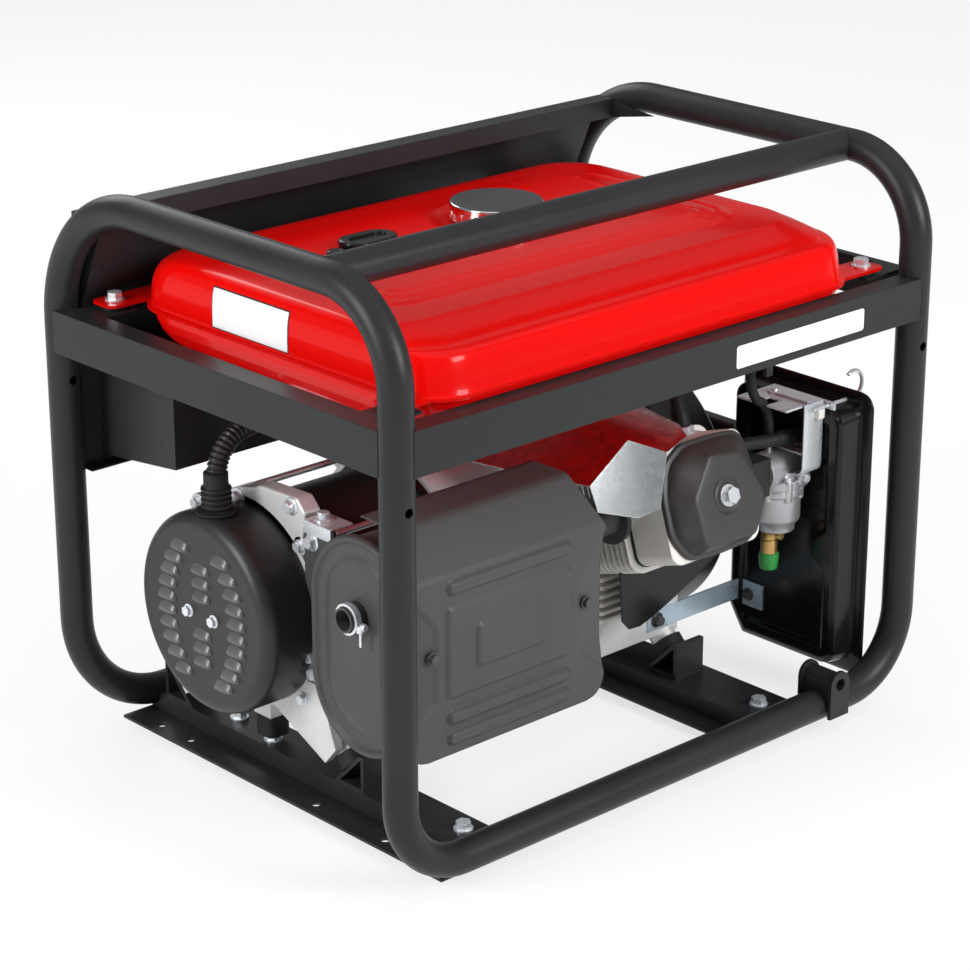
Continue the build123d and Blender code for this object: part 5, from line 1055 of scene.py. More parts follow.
@dataclass
class EngineAssembly:
    """The engine: block, head, rocker cover, flywheel, housings and starter."""

    cylinder_x: float = 110.0
    tilt: float = math.radians(17.6)
    flange_reach: float = 258.0
    flange: float = 5.0
    pad_reach: float = 286.0
    count: int = 144
    flange_corners: tuple[Flat, ...] = ((63.0, 24.0), (57.0, 54.0), (20.0, 58.0), (-26.0, 58.0),
                                        (-52.0, 44.0), (-62.0, 14.0), (-62.0, -28.0), (-44.0, -54.0),
                                        (0.0, -57.0), (44.0, -55.0), (62.0, -34.0))
    flange_soft: float = 0.12
    pad_corners: tuple[Flat, ...] = ((51.0, -8.0), (29.0, 36.0), (-12.0, 42.0), (-42.0, 6.0),
                                     (-39.0, -40.0), (29.0, -44.0))
    pad_soft: float = 0.09
    flange_line: tuple[Flat, ...] = ((-1.5, 1.0), (-0.4, 0.99), (0.0, 0.975), (0.2, 0.95), (1.0, 0.925),
                                     (6.0, 0.9))
    side_start: float = 7.0
    side_end: float = 1.6
    side_foot: float = 0.9
    side_head: float = 1.04
    side_power: float = 0.9
    side_steps: int = 8
    pad_line: tuple[Flat, ...] = ((0.9, 1.015), (0.3, 0.985), (0.0, 0.95), (0.0, 0.6))
    fin_start: float = 131.0
    fin_pitch: float = 7.4
    fin_count: int = 11
    fin_sheet: float = 1.6
    fin_width: float = 140.0
    fin_height: float = 124.0
    fin_corner: float = 18.0
    fin_round: float = 0.6
    sleeve_start: float = 2.0
    sleeve_width: float = 125.4
    sleeve_height: float = 113.4
    sleeve_corner: float = 14.5
    rib_x: float = 80.0
    rib_y: float = -84.0
    rib_length: float = 50.0
    rib_depth: float = 26.0
    rib_low: float = DECK + 104.0
    rib_pitch: float = 9.0
    rib_sheet: float = 4.6
    rib_corner: float = 3.0
    rib_round: float = 0.8
    rib_count: int = 6
    guard_y: float = -126.0
    guard: tuple[Flat, ...] = ((50.0, 184.0), (172.0, 184.0), (198.0, 166.0), (170.0, 152.0),
                               (130.0, 134.0), (100.0, 122.0), (80.0, 116.0), (64.0, 117.0),
                               (54.0, 128.0))
    guard_sheet: float = 2.0
    dimple_in: float = 10.0
    dimple_out: float = 19.0
    dimple: float = 2.2
    dimple_steps: int = 8
    plug_x: float = 146.0
    plug_reach: float = 206.0
    boot_low: float = 64.0
    boot_high: float = 98.0
    boot_line: tuple[Flat, ...] = ((7.2, 0.0), (9.0, 1.5), (9.0, 15.3), (7.2, 18.7), (7.2, 27.2), (5.4, 32.3))
    lead: float = 3.5
    lead_end: tuple[Point, ...] = ((151.0, 4.0, DECK + 292.0), (185.0, 4.0, DECK + 292.0))
    plug_drop: float = 8.0
    plug_head: BoltHead = BoltHead(20.6, 8.0)
    shroud_sheet: float = 1.5
    shroud_round: float = 1.2
    shroud_top: float = DECK + 322.0

    def place(self, reach: float, lift: float, x: float) -> Point:
        """A point in the tilted cylinder's own directions.

        Args:
            reach: The distance from the crankshaft along the cylinder.
            lift: The distance above the cylinder's middle.
            x: The place along X.

        Returns:
            The point in the frame.
        """
        cos, sin = math.cos(self.tilt), math.sin(self.tilt)
        return (x, CRANK_Y - cos * reach + sin * lift, CRANK_Z + sin * reach + cos * lift)

    def cover_ring(self, radii: Sequence[float], reach: float, scale: float = 1.0) -> list[Point]:
        """One level of the rocker cover.

        Args:
            radii: The radius at each even angle.
            reach: How far from the crankshaft it lies.
            scale: How much the radii are scaled by.

        Returns:
            The ring's points.
        """
        ring = []
        for index, radius in enumerate(radii):
            turn = math.tau * index / self.count
            ring.append(self.place(reach, radius * scale * math.sin(turn),
                                   self.cylinder_x + radius * scale * math.cos(turn)))
        return ring

    def rocker_cover(self) -> None:
        """Make the pressed rocker cover: flange, sloped sides and a six-sided pad with a dimple."""
        edge = soft_polar(self.flange_corners, self.count, self.flange_soft)
        pad = soft_polar(self.pad_corners, self.count, self.pad_soft)
        low = self.flange_reach + self.flange
        top = self.pad_reach
        rings = [self.cover_ring(edge, self.flange_reach)]
        rings += [self.cover_ring(edge, low + rise, scale) for rise, scale in self.flange_line]
        start = low + self.side_start
        run = top - self.side_end - start
        for step in range(1, self.side_steps + 1):
            share = step / self.side_steps
            foot = self.side_foot * (1 - share)
            head = self.side_head * share
            mixed = [one * foot + two * head for one, two in zip(edge, pad)]
            rings.append(self.cover_ring(mixed, start + run * share ** self.side_power))
        rings += [self.cover_ring(pad, top - drop, scale) for drop, scale in self.pad_line]
        for step in range(self.dimple_steps + 1):
            share = step / self.dimple_steps
            radius = self.dimple_out - (self.dimple_out - self.dimple_in) * share
            drop = self.dimple * math.sin(math.pi * share)
            rings.append(self.cover_ring([radius] * self.count, top - drop))
        sketch = Sketch()
        sketch.loft(rings)
        sketch.build("rocker_pressing", ROCKER_DARK, "rocker_brown", "rocker_cover", smooth_angle=35.0)

    def slab(self, sketch: Sketch, levels: Flat, size: Flat, corner: float) -> None:
        """Add a rounded plate across the cylinder.

        Args:
            sketch: The sketch that gets it.
            levels: Where it starts and ends along the cylinder.
            size: Its size along X and up the head.
            corner: Its corners' radius.
        """
        outline = rounded_rectangle(*size, corner, steps=8)
        sketch.prism(outline, levels, lambda u, v, reach: self.place(reach, v, self.cylinder_x + u))

    def fins(self) -> None:
        """Make the cooling fins round the cylinder's upper end."""
        sketch = Sketch()
        for index in range(self.fin_count):
            start = self.fin_start + index * self.fin_pitch
            self.slab(sketch, (start, start + self.fin_sheet), (self.fin_width, self.fin_height),
                      self.fin_corner)
        sketch.build("cooling_fins", HEAD_CAST, "cast_aluminium", rounding=self.fin_round)

    def fin_gaps_painted_shade(self) -> None:
        """Make the barrel between the fins in black, a painted shade for the dark gaps between the fins."""
        sketch = Sketch()
        start = self.fin_start - self.sleeve_start
        self.slab(sketch, (start, start + self.fin_count * self.fin_pitch),
                  (self.sleeve_width, self.sleeve_height), self.sleeve_corner)
        # The black finish here is painted shade for the gaps between the fins, not the barrel's own colour.
        sketch.build("fin_gaps_painted_shade", INSULATOR, "plastic_black")

    def lower_guard(self) -> None:
        """Make the black sheet under the cylinder."""
        sketch = Sketch()
        sketch.cap(sketch.ring([(x, self.guard_y, z) for x, z in self.guard]))
        sketch.build("lower_guard", GLOSS_MOULDING, "plastic_black", sheet=self.guard_sheet,
                     rounding=self.fin_round)

    def case_ribs(self) -> None:
        """Make the cast ribs on the crankcase's front, under the cylinder."""
        sketch = Sketch()
        outline = rounded_rectangle(self.rib_length, self.rib_depth, self.rib_corner, steps=4)
        for index in range(self.rib_count):
            low = self.rib_low + index * self.rib_pitch
            sketch.prism(outline, (low, low + self.rib_sheet),
                         lambda u, v, z: (self.rib_x + u, self.rib_y + v, z))
        sketch.build("crankcase_ribs", HEAD_CAST, "cast_aluminium", rounding=self.rib_round)

    def shroud(self) -> None:
        """Make the folded galvanised shroud over the cylinder."""
        top = self.shroud_top
        corners = {
            "left_back": (-60.0, 0.0, top - 38.0),
            "left_front": (-27.0, -160.0, top - 33.0),
            "ridge_back": (26.0, 0.0, top),
            "ridge_front": (26.6, -157.0, top),
            "right_back": (128.0, 0.0, top),
            "right_front": (94.0, -160.0, top),
            "lip": (88.0, -176.0, top - 6.0),
            "inner": (49.0, -187.0, top - 10.0),
            "low_right": (44.0, -185.0, top - 66.0),
            "low_middle": (15.0, -184.0, top - 69.0),
            "low_left": (-17.0, -161.0, top - 61.0),
        }
        panels = (
            ("left_back", "left_front", "ridge_front", "ridge_back"),
            ("ridge_back", "ridge_front", "right_front", "right_back"),
            ("right_front", "ridge_front", "inner", "lip"),
            ("ridge_front", "low_middle", "low_right", "inner"),
            ("ridge_front", "left_front", "low_left", "low_middle"),
        )
        sketch = Sketch()
        found = dict(zip(corners, sketch.ring(corners.values())))
        for panel in panels:
            sketch.cap([found[corner] for corner in panel])
        sketch.build("folded_shroud", GALVANISED, "galvanised", "cylinder_shroud", smooth_angle=20.0,
                     sheet=self.shroud_sheet, rounding=self.shroud_round)

    def plug_lead(self) -> None:
        """Make the plug's boot and its lead to the fan housing."""
        seat = self.place(self.plug_reach, self.boot_low, self.plug_x)
        start = self.place(self.plug_reach, self.boot_high, self.plug_x)
        boot = self.boot_high - self.boot_low
        sketch = Sketch()
        sketch.turned(seat, self.up(), [*self.boot_line, (self.lead, boot)], count=32)
        higher = self.place(self.plug_reach, self.boot_high + boot, self.plug_x)
        sketch.tube(spline_line([start, higher, *self.lead_end]), lambda reach: self.lead, count=16)
        sketch.build("plug_boot_and_lead", RUBBER, "rubber_black", "spark_plug_lead")

    def up(self) -> Point:
        """The direction square to the cylinder, upwards."""
        return (0.0, math.sin(self.tilt), math.cos(self.tilt))

    def plug(self) -> None:
        """Make the spark plug's steel body under its boot."""
        sketch = Sketch()
        seat = self.place(self.plug_reach, self.boot_low - self.plug_drop, self.plug_x)
        sketch.hexagon(seat, self.up(), self.plug_head)
        sketch.build("spark_plug_body", ZINC, "zinc_steel", "spark_plug_lead")

    def build(self) -> None:
        """Make the covers and dress the engine's nodes."""
        self.rocker_cover()
        self.fins()
        self.fin_gaps_painted_shade()
        self.lower_guard()
        self.case_ribs()
        self.shroud()
        self.plug_lead()
        self.plug()
        dress_each(CAST_ALUMINIUM, "crankcase", "crankcase_cover", "piston_and_rod")
        dress("cylinder_head", HEAD_CAST)
        dress_each(CORE_STEEL, "crankshaft", "flywheel")
        dress_each(COVER_BLACK, "fan_housing", "recoil_housing")
        dress_each(MOULDING, "recoil_reel", "recoil_handle", "oil_dipstick")


@dataclass
class AirCleanerAssembly:
    """The air cleaner: its tray, cover and filter."""

    box_x: float = 280.0
    joint_x: float = 306.0
    front: float = -209.0
    back: float = -69.0
    low: float = DECK + 31.0
    high: float = DECK + 302.0
    corner: float = 18.0
    cut: float = 18.0
    cut_height: float = 27.0
    rim: float = 3.0
    rim_depth: float = 3.0
    rim_soft: float = 1.0
    edge: float = 3.0
    edge_soft: float = 0.9
    edge_share: float = 0.7
    recess: float = 5.0
    recess_soft: float = 4.5
    border: float = 13.0
    straight_y: float = 52.0
    straight_z: float = 118.0
    tray_rows: int = 150
    tray_columns: int = 70
    hook: float = 17.0
    hook_z: float = DECK + 150.0
    hook_half: float = 17.0

    def tray_row(self, z: float, inset: float) -> Flat:
        """Front and back of the tray's outline at a height.

        Args:
            z: The height.
            inset: How far the outline is drawn in.

        Returns:
            The least and the greatest Y.
        """
        low = self.low + inset
        high = self.high - inset
        corner = self.corner - inset / 2
        draw = 0.0
        gap = min(z - low, high - z)
        if gap < corner:
            draw = corner - math.sqrt(max(0.0, corner ** 2 - (corner - gap) ** 2))
        slant = self.cut * max(0.0, 1.0 - (z - low) / self.cut_height)
        return self.front + inset + draw, self.back - inset - max(draw, slant)

    def tray_depth(self, y: float, z: float) -> float:
        """How far the tray's inner face lies behind or in front of its plain level.

        Args:
            y: The place along Y.
            z: The height.

        Returns:
            The depth, negative on the raised border.
        """
        line = self.front + self.border + self.hook * smooth(1.5 - abs(z - self.hook_z) / self.hook_half)
        away = min(y - line, self.back - self.border - y, z - self.low - self.border,
                   self.high - self.border - z)
        return self.recess * smooth(away / self.recess_soft) - self.recess

    def grown(self, point: Point, grow: float, x: float) -> Point:
        """Move a point of the tray's outline outwards.

        Args:
            point: The point to move.
            grow: How far it moves.
            x: Its new place along X.

        Returns:
            The moved point.
        """
        _, y, z = point
        side_y = (y - (self.front + self.back) / 2) / self.straight_y
        side_z = (z - (self.low + self.high) / 2) / self.straight_z
        return (x, y + grow * max(-1.0, min(1.0, side_y)), z + grow * max(-1.0, min(1.0, side_z)))

    def tray(self) -> None:
        """Make the air cleaner's tray with its pressed inner face."""
        rows = []
        for step in range(self.tray_rows + 1):
            z = self.low + self.edge + (self.high - self.low - 2 * self.edge) * step / self.tray_rows
            start, end = self.tray_row(z, self.edge)
            ys = [start + (end - start) * share / self.tray_columns for share in range(self.tray_columns + 1)]
            rows.append([(self.box_x + self.tray_depth(y, z), y, z) for y in ys])
        sketch = Sketch()
        grid = sketch.grid(rows)
        right = [row[-1] for row in grid[1:-1]]
        left = [row[0] for row in grid[-2:0:-1]]
        rim = grid[0] + right + grid[-1][::-1] + left
        face_x = self.box_x - self.recess
        joint_edge = self.joint_x - self.rim_depth
        for grow, x in ((self.edge * self.edge_share, face_x + self.edge_soft),
                        (self.edge, face_x + self.edge), (self.edge, joint_edge - self.rim_soft),
                        (self.edge + self.rim, joint_edge), (self.edge + self.rim, self.joint_x)):
            after = sketch.ring([self.grown(sketch.points[index], grow, x) for index in rim])
            sketch.bridge(rim, after)
            rim = after
        sketch.cap(rim)
        sketch.build("air_cleaner_tray", GLOSS_MOULDING, "plastic_gloss", "air_cleaner_base",
                     smooth_angle=45.0)

    def build(self) -> None:
        """Make the tray and dress the air cleaner's nodes."""
        self.tray()
        dress("air_cleaner_cover", GLOSS_MOULDING)
        dress("filter_element", FOAM)


@dataclass
class CarburettorAssembly:
    """The carburettor with its bowl, screws and drain."""

    drain_top: float = DECK + 172.0
    cap_top: float = DECK + 148.0
    block_right: float = 221.9
    carb_x: float = 250.0
    carb_y: float = -150.0
    bowl_rim: float = DECK + 218.0
    bowl: tuple[Flat, ...] = ((17.0, -47.0), (19.4, -45.5), (19.8, -39.0), (23.8, -34.5), (25.0, -31.0),
                              (25.0, -7.0), (26.8, -5.6), (26.8, 0.0), (26.0, 0.8), (26.0, 1.8), (26.8, 2.6),
                              (26.8, 10.0), (25.4, 11.4))
    boss_turns: tuple[float, ...] = (200.0, 250.0, 300.0, 350.0)
    boss_circle: float = 23.4
    boss_drop: float = 10.0
    boss: tuple[Flat, ...] = ((4.2, 0.0), (4.6, 1.0), (4.6, 21.0), (4.0, 22.0))
    bowl_screw: BoltHead = BoltHead(6.5, 3.0, 4.4)
    screw_rise: float = 12.0
    jet_x: float = 262.0
    jet_y: float = -160.0
    jet_z: float = DECK + 230.0
    jet: tuple[Flat, ...] = ((9.0, 0.0), (9.0, 16.0), (7.5, 17.5))
    jet_screw: BoltHead = BoltHead(8.0, 3.5)
    drain_x: float = 242.0
    drain: float = 8.6
    drain_low: float = DECK + 147.0
    drain_high: float = DECK + 171.0
    drain_line: tuple[Flat, ...] = ((1.0, 0.0), (1.0, 0.6), (0.9, 0.64), (1.0, 0.68), (1.0, 0.9), (0.85, 1.0))
    spout_seat: Point = (244.0, -156.0, DECK + 168.0)
    spout: tuple[Flat, ...] = ((4.2, 0.0), (4.2, 8.0), (3.4, 9.0))
    cap_radius: float = 10.2
    cap_low: float = DECK + 129.5
    cap_line: tuple[Flat, ...] = ((0.6, 0.0), (0.85, 0.06), (0.92, 0.2), (1.0, 0.8), (1.0, 1.0))
    cap_lip: float = 1.0

    def bosses(self, z: float) -> list[Point]:
        """The middles of the bowl's screw bosses at a height.

        Args:
            z: The height.

        Returns:
            The points in order.
        """
        places = []
        for degrees in self.boss_turns:
            turn = math.radians(degrees)
            places.append((self.carb_x + self.boss_circle * math.cos(turn),
                           self.carb_y + self.boss_circle * math.sin(turn), z))
        return places

    def carb_dressing(self) -> None:
        """Make the carburettor's flanges, bowl bands and screw bosses."""
        sketch = Sketch()
        sketch.turned((self.carb_x, self.carb_y, self.bowl_rim), UP, self.bowl)
        for place in self.bosses(self.bowl_rim - self.boss_drop):
            sketch.turned(place, UP, self.boss, count=24)
        sketch.turned((self.jet_x, self.jet_y, self.jet_z), FRONTWARD, self.jet, count=32)
        sketch.build("carburettor_fittings", CARB_CAST, "cast_aluminium")

    def carb_screws(self) -> None:
        """Make the small screws on the carburettor."""
        sketch = Sketch()
        for place in self.bosses(self.bowl_rim + self.screw_rise):
            sketch.hexagon(place, UP, self.bowl_screw)
        jet_end = self.jet[-1][1]
        sketch.hexagon((self.jet_x, self.jet_y - jet_end, self.jet_z), FRONTWARD, self.jet_screw)
        sketch.build("carburettor_screws", ZINC, "zinc_steel")

    def drain_body(self) -> None:
        """Make the brass drain under the float bowl."""
        sketch = Sketch()
        span = self.drain_high - self.drain_low
        profile = [(self.drain * share, span * rise) for share, rise in self.drain_line]
        sketch.turned((self.drain_x, self.carb_y, self.drain_low), UP, profile, count=40)
        sketch.turned(self.spout_seat, FRONTWARD, self.spout, count=24)
        sketch.build("drain_body", BRASS, "brass_fuel")

    def drain_cap(self) -> None:
        """Make the soft green cap on the drain."""
        sketch = Sketch()
        span = self.drain_low - self.cap_low
        profile = [(self.cap_radius * share, span * rise) for share, rise in self.cap_line]
        sketch.turned((self.drain_x, self.carb_y, self.cap_low), UP,
                      [*profile, (self.drain, span + self.cap_lip)], count=40)
        sketch.build("drain_cap", GREEN_CAP, "plastic_black")

    def build(self) -> None:
        """Make the fittings and dress the carburettor."""
        self.carb_dressing()
        self.carb_screws()
        self.drain_body()
        self.drain_cap()
        dress("carburettor", CARB_CAST,
              (INSULATOR, lambda place: place.x < self.block_right),
              (BRASS, lambda place: place.z < self.drain_top),
              (GREEN_CAP, lambda place: place.z < self.cap_top))


@dataclass
class ControlAssembly:
    """The zinc strap, the control bracket, the choke, the governor arm and the breather."""

    plate_right: float = -200.0
    strap_top: float = DECK + 100.0
    box_x: float = 280.0
    face_left: float = 246.0
    face_right: float = 274.0
    face_y: float = -186.4
    face_sheet: float = 1.8
    face_round: float = 0.4
    face_line: tuple[Flat, ...] = ((0.0, DECK + 313.0), (0.0, DECK + 280.0), (0.0, DECK + 246.0),
                                   (1.6, DECK + 241.0), (6.0, DECK + 238.0), (16.0, DECK + 237.0))
    block_x: float = 266.0
    block_z: float = DECK + 301.0
    block_width: float = 9.0
    block_height: float = 11.0
    block_corner: float = 1.5
    block_back: float = 0.5
    block_front: float = 6.0
    block_round: float = 0.6
    strap_y: float = -92.0
    strap_z: float = DECK + 73.0
    strap_half: float = 20.0
    strap_height: float = 13.0
    strap_sheet: float = 2.2
    strap_gap: float = 0.2
    strap_corner: float = 2.0
    strap_round: float = 0.5
    strap_bolt: BoltHead = BoltHead(9.0, 4.0, 7.0)
    foot_bolt: BoltHead = BoltHead(10.0, 6.0, 8.0)
    foot_seat: Point = (152.0, -80.6, DECK + 77.0)
    breather_route: tuple[Point, ...] = ((170.0, -146.0, DECK + 275.0), (200.0, -152.0, DECK + 274.0),
                                         (240.0, -160.0, DECK + 272.0), (279.0, -166.0, DECK + 272.0))
    breather_radius: float = 6.6
    sleeve: float = 1.4
    sleeve_reach: float = 78.0
    sleeve_soft: float = 3.0
    sleeve_half: float = 12.0

    def strap_end(self) -> None:
        """Make the zinc strap's bent end on the air cleaner."""
        sketch = Sketch()
        outline = rounded_rectangle(2 * self.strap_half, 2 * self.strap_height, self.strap_corner, steps=4)
        back = self.box_x - self.strap_gap
        sketch.prism(outline, (back - self.strap_sheet, back),
                     lambda u, v, x: (x, self.strap_y + u, self.strap_z + v))
        sketch.build("strap_end", BLUE_ZINC, "zinc_steel", rounding=self.strap_round)

    def strap_bolts(self) -> None:
        """Make the bolts at both ends of the zinc strap."""
        sketch = Sketch()
        seat = (self.box_x - self.strap_sheet, self.strap_y, self.strap_z)
        sketch.hexagon(seat, LEFTWARD, self.strap_bolt)
        sketch.hexagon(self.foot_seat, FRONTWARD, self.foot_bolt)
        sketch.build("strap_bolts", DARK_STEEL, "zinc_steel")

    def bracket_face(self) -> None:
        """Make the control bracket's tall front plate with its rolled foot."""
        sketch = Sketch()
        rows = []
        for x in (self.face_left, self.face_right):
            rows.append([(x, self.face_y + out, z) for out, z in self.face_line])
        sketch.grid(rows)
        sketch.build("bracket_face", ZINC, "zinc_steel", sheet=self.face_sheet, rounding=self.face_round)

    def bracket_block(self) -> None:
        """Make the small pale block that the choke wire passes through."""
        sketch = Sketch()
        outline = rounded_rectangle(self.block_width, self.block_height, self.block_corner, steps=4)
        sketch.prism(outline, (self.face_y - self.block_back, self.face_y - self.block_front),
                     lambda u, v, y: (self.block_x + u, y, self.block_z + v))
        sketch.build("bracket_block", HEAD_CAST, "cast_aluminium", rounding=self.block_round)

    def breather(self) -> None:
        """Make the black breather pipe above the carburettor."""

        def radius(reach: float) -> float:
            """The pipe's radius, greater under its sleeve."""
            return self.breather_radius + self.sleeve * smooth(
                (self.sleeve_half - abs(reach - self.sleeve_reach)) / self.sleeve_soft)

        sketch = Sketch()
        sketch.tube(spline_line(self.breather_route), radius, count=24)
        sketch.build("breather_pipe", RUBBER, "rubber_black")

    def build(self) -> None:
        """Make the plates and the pipe and dress the controls' nodes."""
        self.strap_end()
        self.strap_bolts()
        self.bracket_face()
        self.bracket_block()
        self.breather()
        dress("zinc_brackets", ZINC,
              (SHIELD_GREY, lambda place: place.x < self.plate_right),
              (BLUE_ZINC, lambda place: place.z < self.strap_top))
        dress_each(ZINC, "choke_rod", "governor_arm")


@dataclass
class ShieldAssembly:
    """The muffler's heat shield."""

    left: float = -313.0
    right: float = -71.0
    front: float = -225.0
    low: float = DECK + 111.0
    fold: float = DECK + 282.0
    slope_y: float = -190.0
    top: float = DECK + 326.0
    back: float = -145.0
    sheet: float = 1.5
    corner: float = 22.0
    top_inset: float = 16.0
    flap: float = 34.0
    flap_high: float = DECK + 238.0
    flap_low: float = DECK + 166.0
    flap_spread: float = 40.0
    flap_slope: float = 0.16
    flap_taper: float = 0.75
    flap_drop: float = 1.6
    flap_edge: float = 2.0
    rib_half: float = 75.0
    rib_height: float = 5.5
    rib_out: float = 4.0
    ribs: tuple[float, ...] = (DECK + 272.0, DECK + 147.0, DECK + 127.0)
    field_z: float = DECK + 210.0
    field_half: float = 76.0
    field_height: float = 43.0
    inner_half: float = 42.0
    inner_height: float = 20.0
    field_corner: float = 6.0
    emboss: float = 2.8
    soft: float = 2.8
    fold_run: float = 5.0
    fold_steps: int = 5
    front_steps: int = 90
    slope_steps: int = 16
    top_steps: int = 8
    columns: int = 140
    flat_margin: float = 2.0

    def profile(self) -> list[Flat]:
        """The folded sheet's line from its bottom edge to its back edge.

        Returns:
            Pairs of Y and Z.
        """
        turn = self.fold_run
        slope = Vector((self.slope_y - self.front, self.top - self.fold)).normalized()
        below = (self.front, self.fold - turn)
        after = (self.front + slope.x * turn, self.fold + slope.y * turn)
        before = (self.slope_y - slope.x * turn, self.top - slope.y * turn)
        flat = (self.slope_y + turn, self.top)
        line = [(self.front, self.low)]
        line += even_line(line[0], below, self.front_steps)
        line += self.bend(below, (self.front, self.fold), after)
        line += even_line(after, before, self.slope_steps)
        line += self.bend(before, (self.slope_y, self.top), flat)
        return line + even_line(flat, (self.back, self.top), self.top_steps)

    def bend(self, start: Flat, corner: Flat, end: Flat) -> list[Flat]:
        """Points of a rounded fold between two flats.

        Args:
            start: The last point of the first flat.
            corner: Where the flats would meet.
            end: The first point of the second flat.

        Returns:
            The fold's points after its start.
        """
        one, two, three = Vector(start), Vector(corner), Vector(end)
        points = []
        for step in range(1, self.fold_steps + 1):
            share = step / self.fold_steps
            points.append(tuple(one.lerp(two, share).lerp(two.lerp(three, share), share)))
        return points

    def pressed(self, x: float, z: float) -> float:
        """How far the pressings stand out of the shield's front at a place.

        Args:
            x: The place along X.
            z: The height.

        Returns:
            The distance in front of the sheet, negative behind it.
        """
        middle = (self.left + self.right) / 2
        out = 0.0
        for height in self.ribs:
            away = box_distance(x - middle, z - height, self.rib_half, self.rib_height, self.rib_height)
            out += self.rib_out * smooth(0.5 - away / self.soft)
        for half, height in ((self.field_half, self.field_height), (self.inner_half, self.inner_height)):
            away = box_distance(x - middle, z - self.field_z, half, height, self.field_corner)
            out += self.emboss * smooth(0.5 - away / self.soft)
        edge = abs(x - middle) - (self.right - self.left) / 2 + self.flap
        spread = edge * self.flap_spread / self.flap
        reach = min(edge, self.flap_high - z + spread, z - self.flap_low + spread * self.flap_taper)
        return out - self.flap_slope * max(0.0, reach) - self.flap_drop * smooth(reach / self.flap_edge)

    def span(self, z: float) -> Flat:
        """Left and right ends of the shield's row.

        Args:
            z: The row's height.

        Returns:
            The least and the greatest X.
        """
        draw = 0.0
        if z - self.low < self.corner:
            gap = self.corner - (z - self.low)
            draw = self.corner - math.sqrt(max(0.0, self.corner ** 2 - gap ** 2))
        if z > self.fold:
            draw = self.top_inset * (z - self.fold) / (self.top - self.fold)
        return self.left + draw, self.right - draw

    def shield(self) -> None:
        """Make the pressed heat shield."""
        rows = []
        for y, z in self.profile():
            start, end = self.span(z)
            row = []
            for step in range(self.columns + 1):
                x = start + (end - start) * step / self.columns
                out = self.pressed(x, z) if z < self.fold - self.flat_margin else 0.0
                row.append((x, y - out, z))
            rows.append(row)
        sketch = Sketch()
        sketch.grid(rows)
        sketch.build("pressed_shield", SHIELD_GREY, "shield_grey", "heat_shield", smooth_angle=45.0,
                     sheet=self.sheet)

    def build(self) -> None:
        """Make the shield."""
        self.shield()


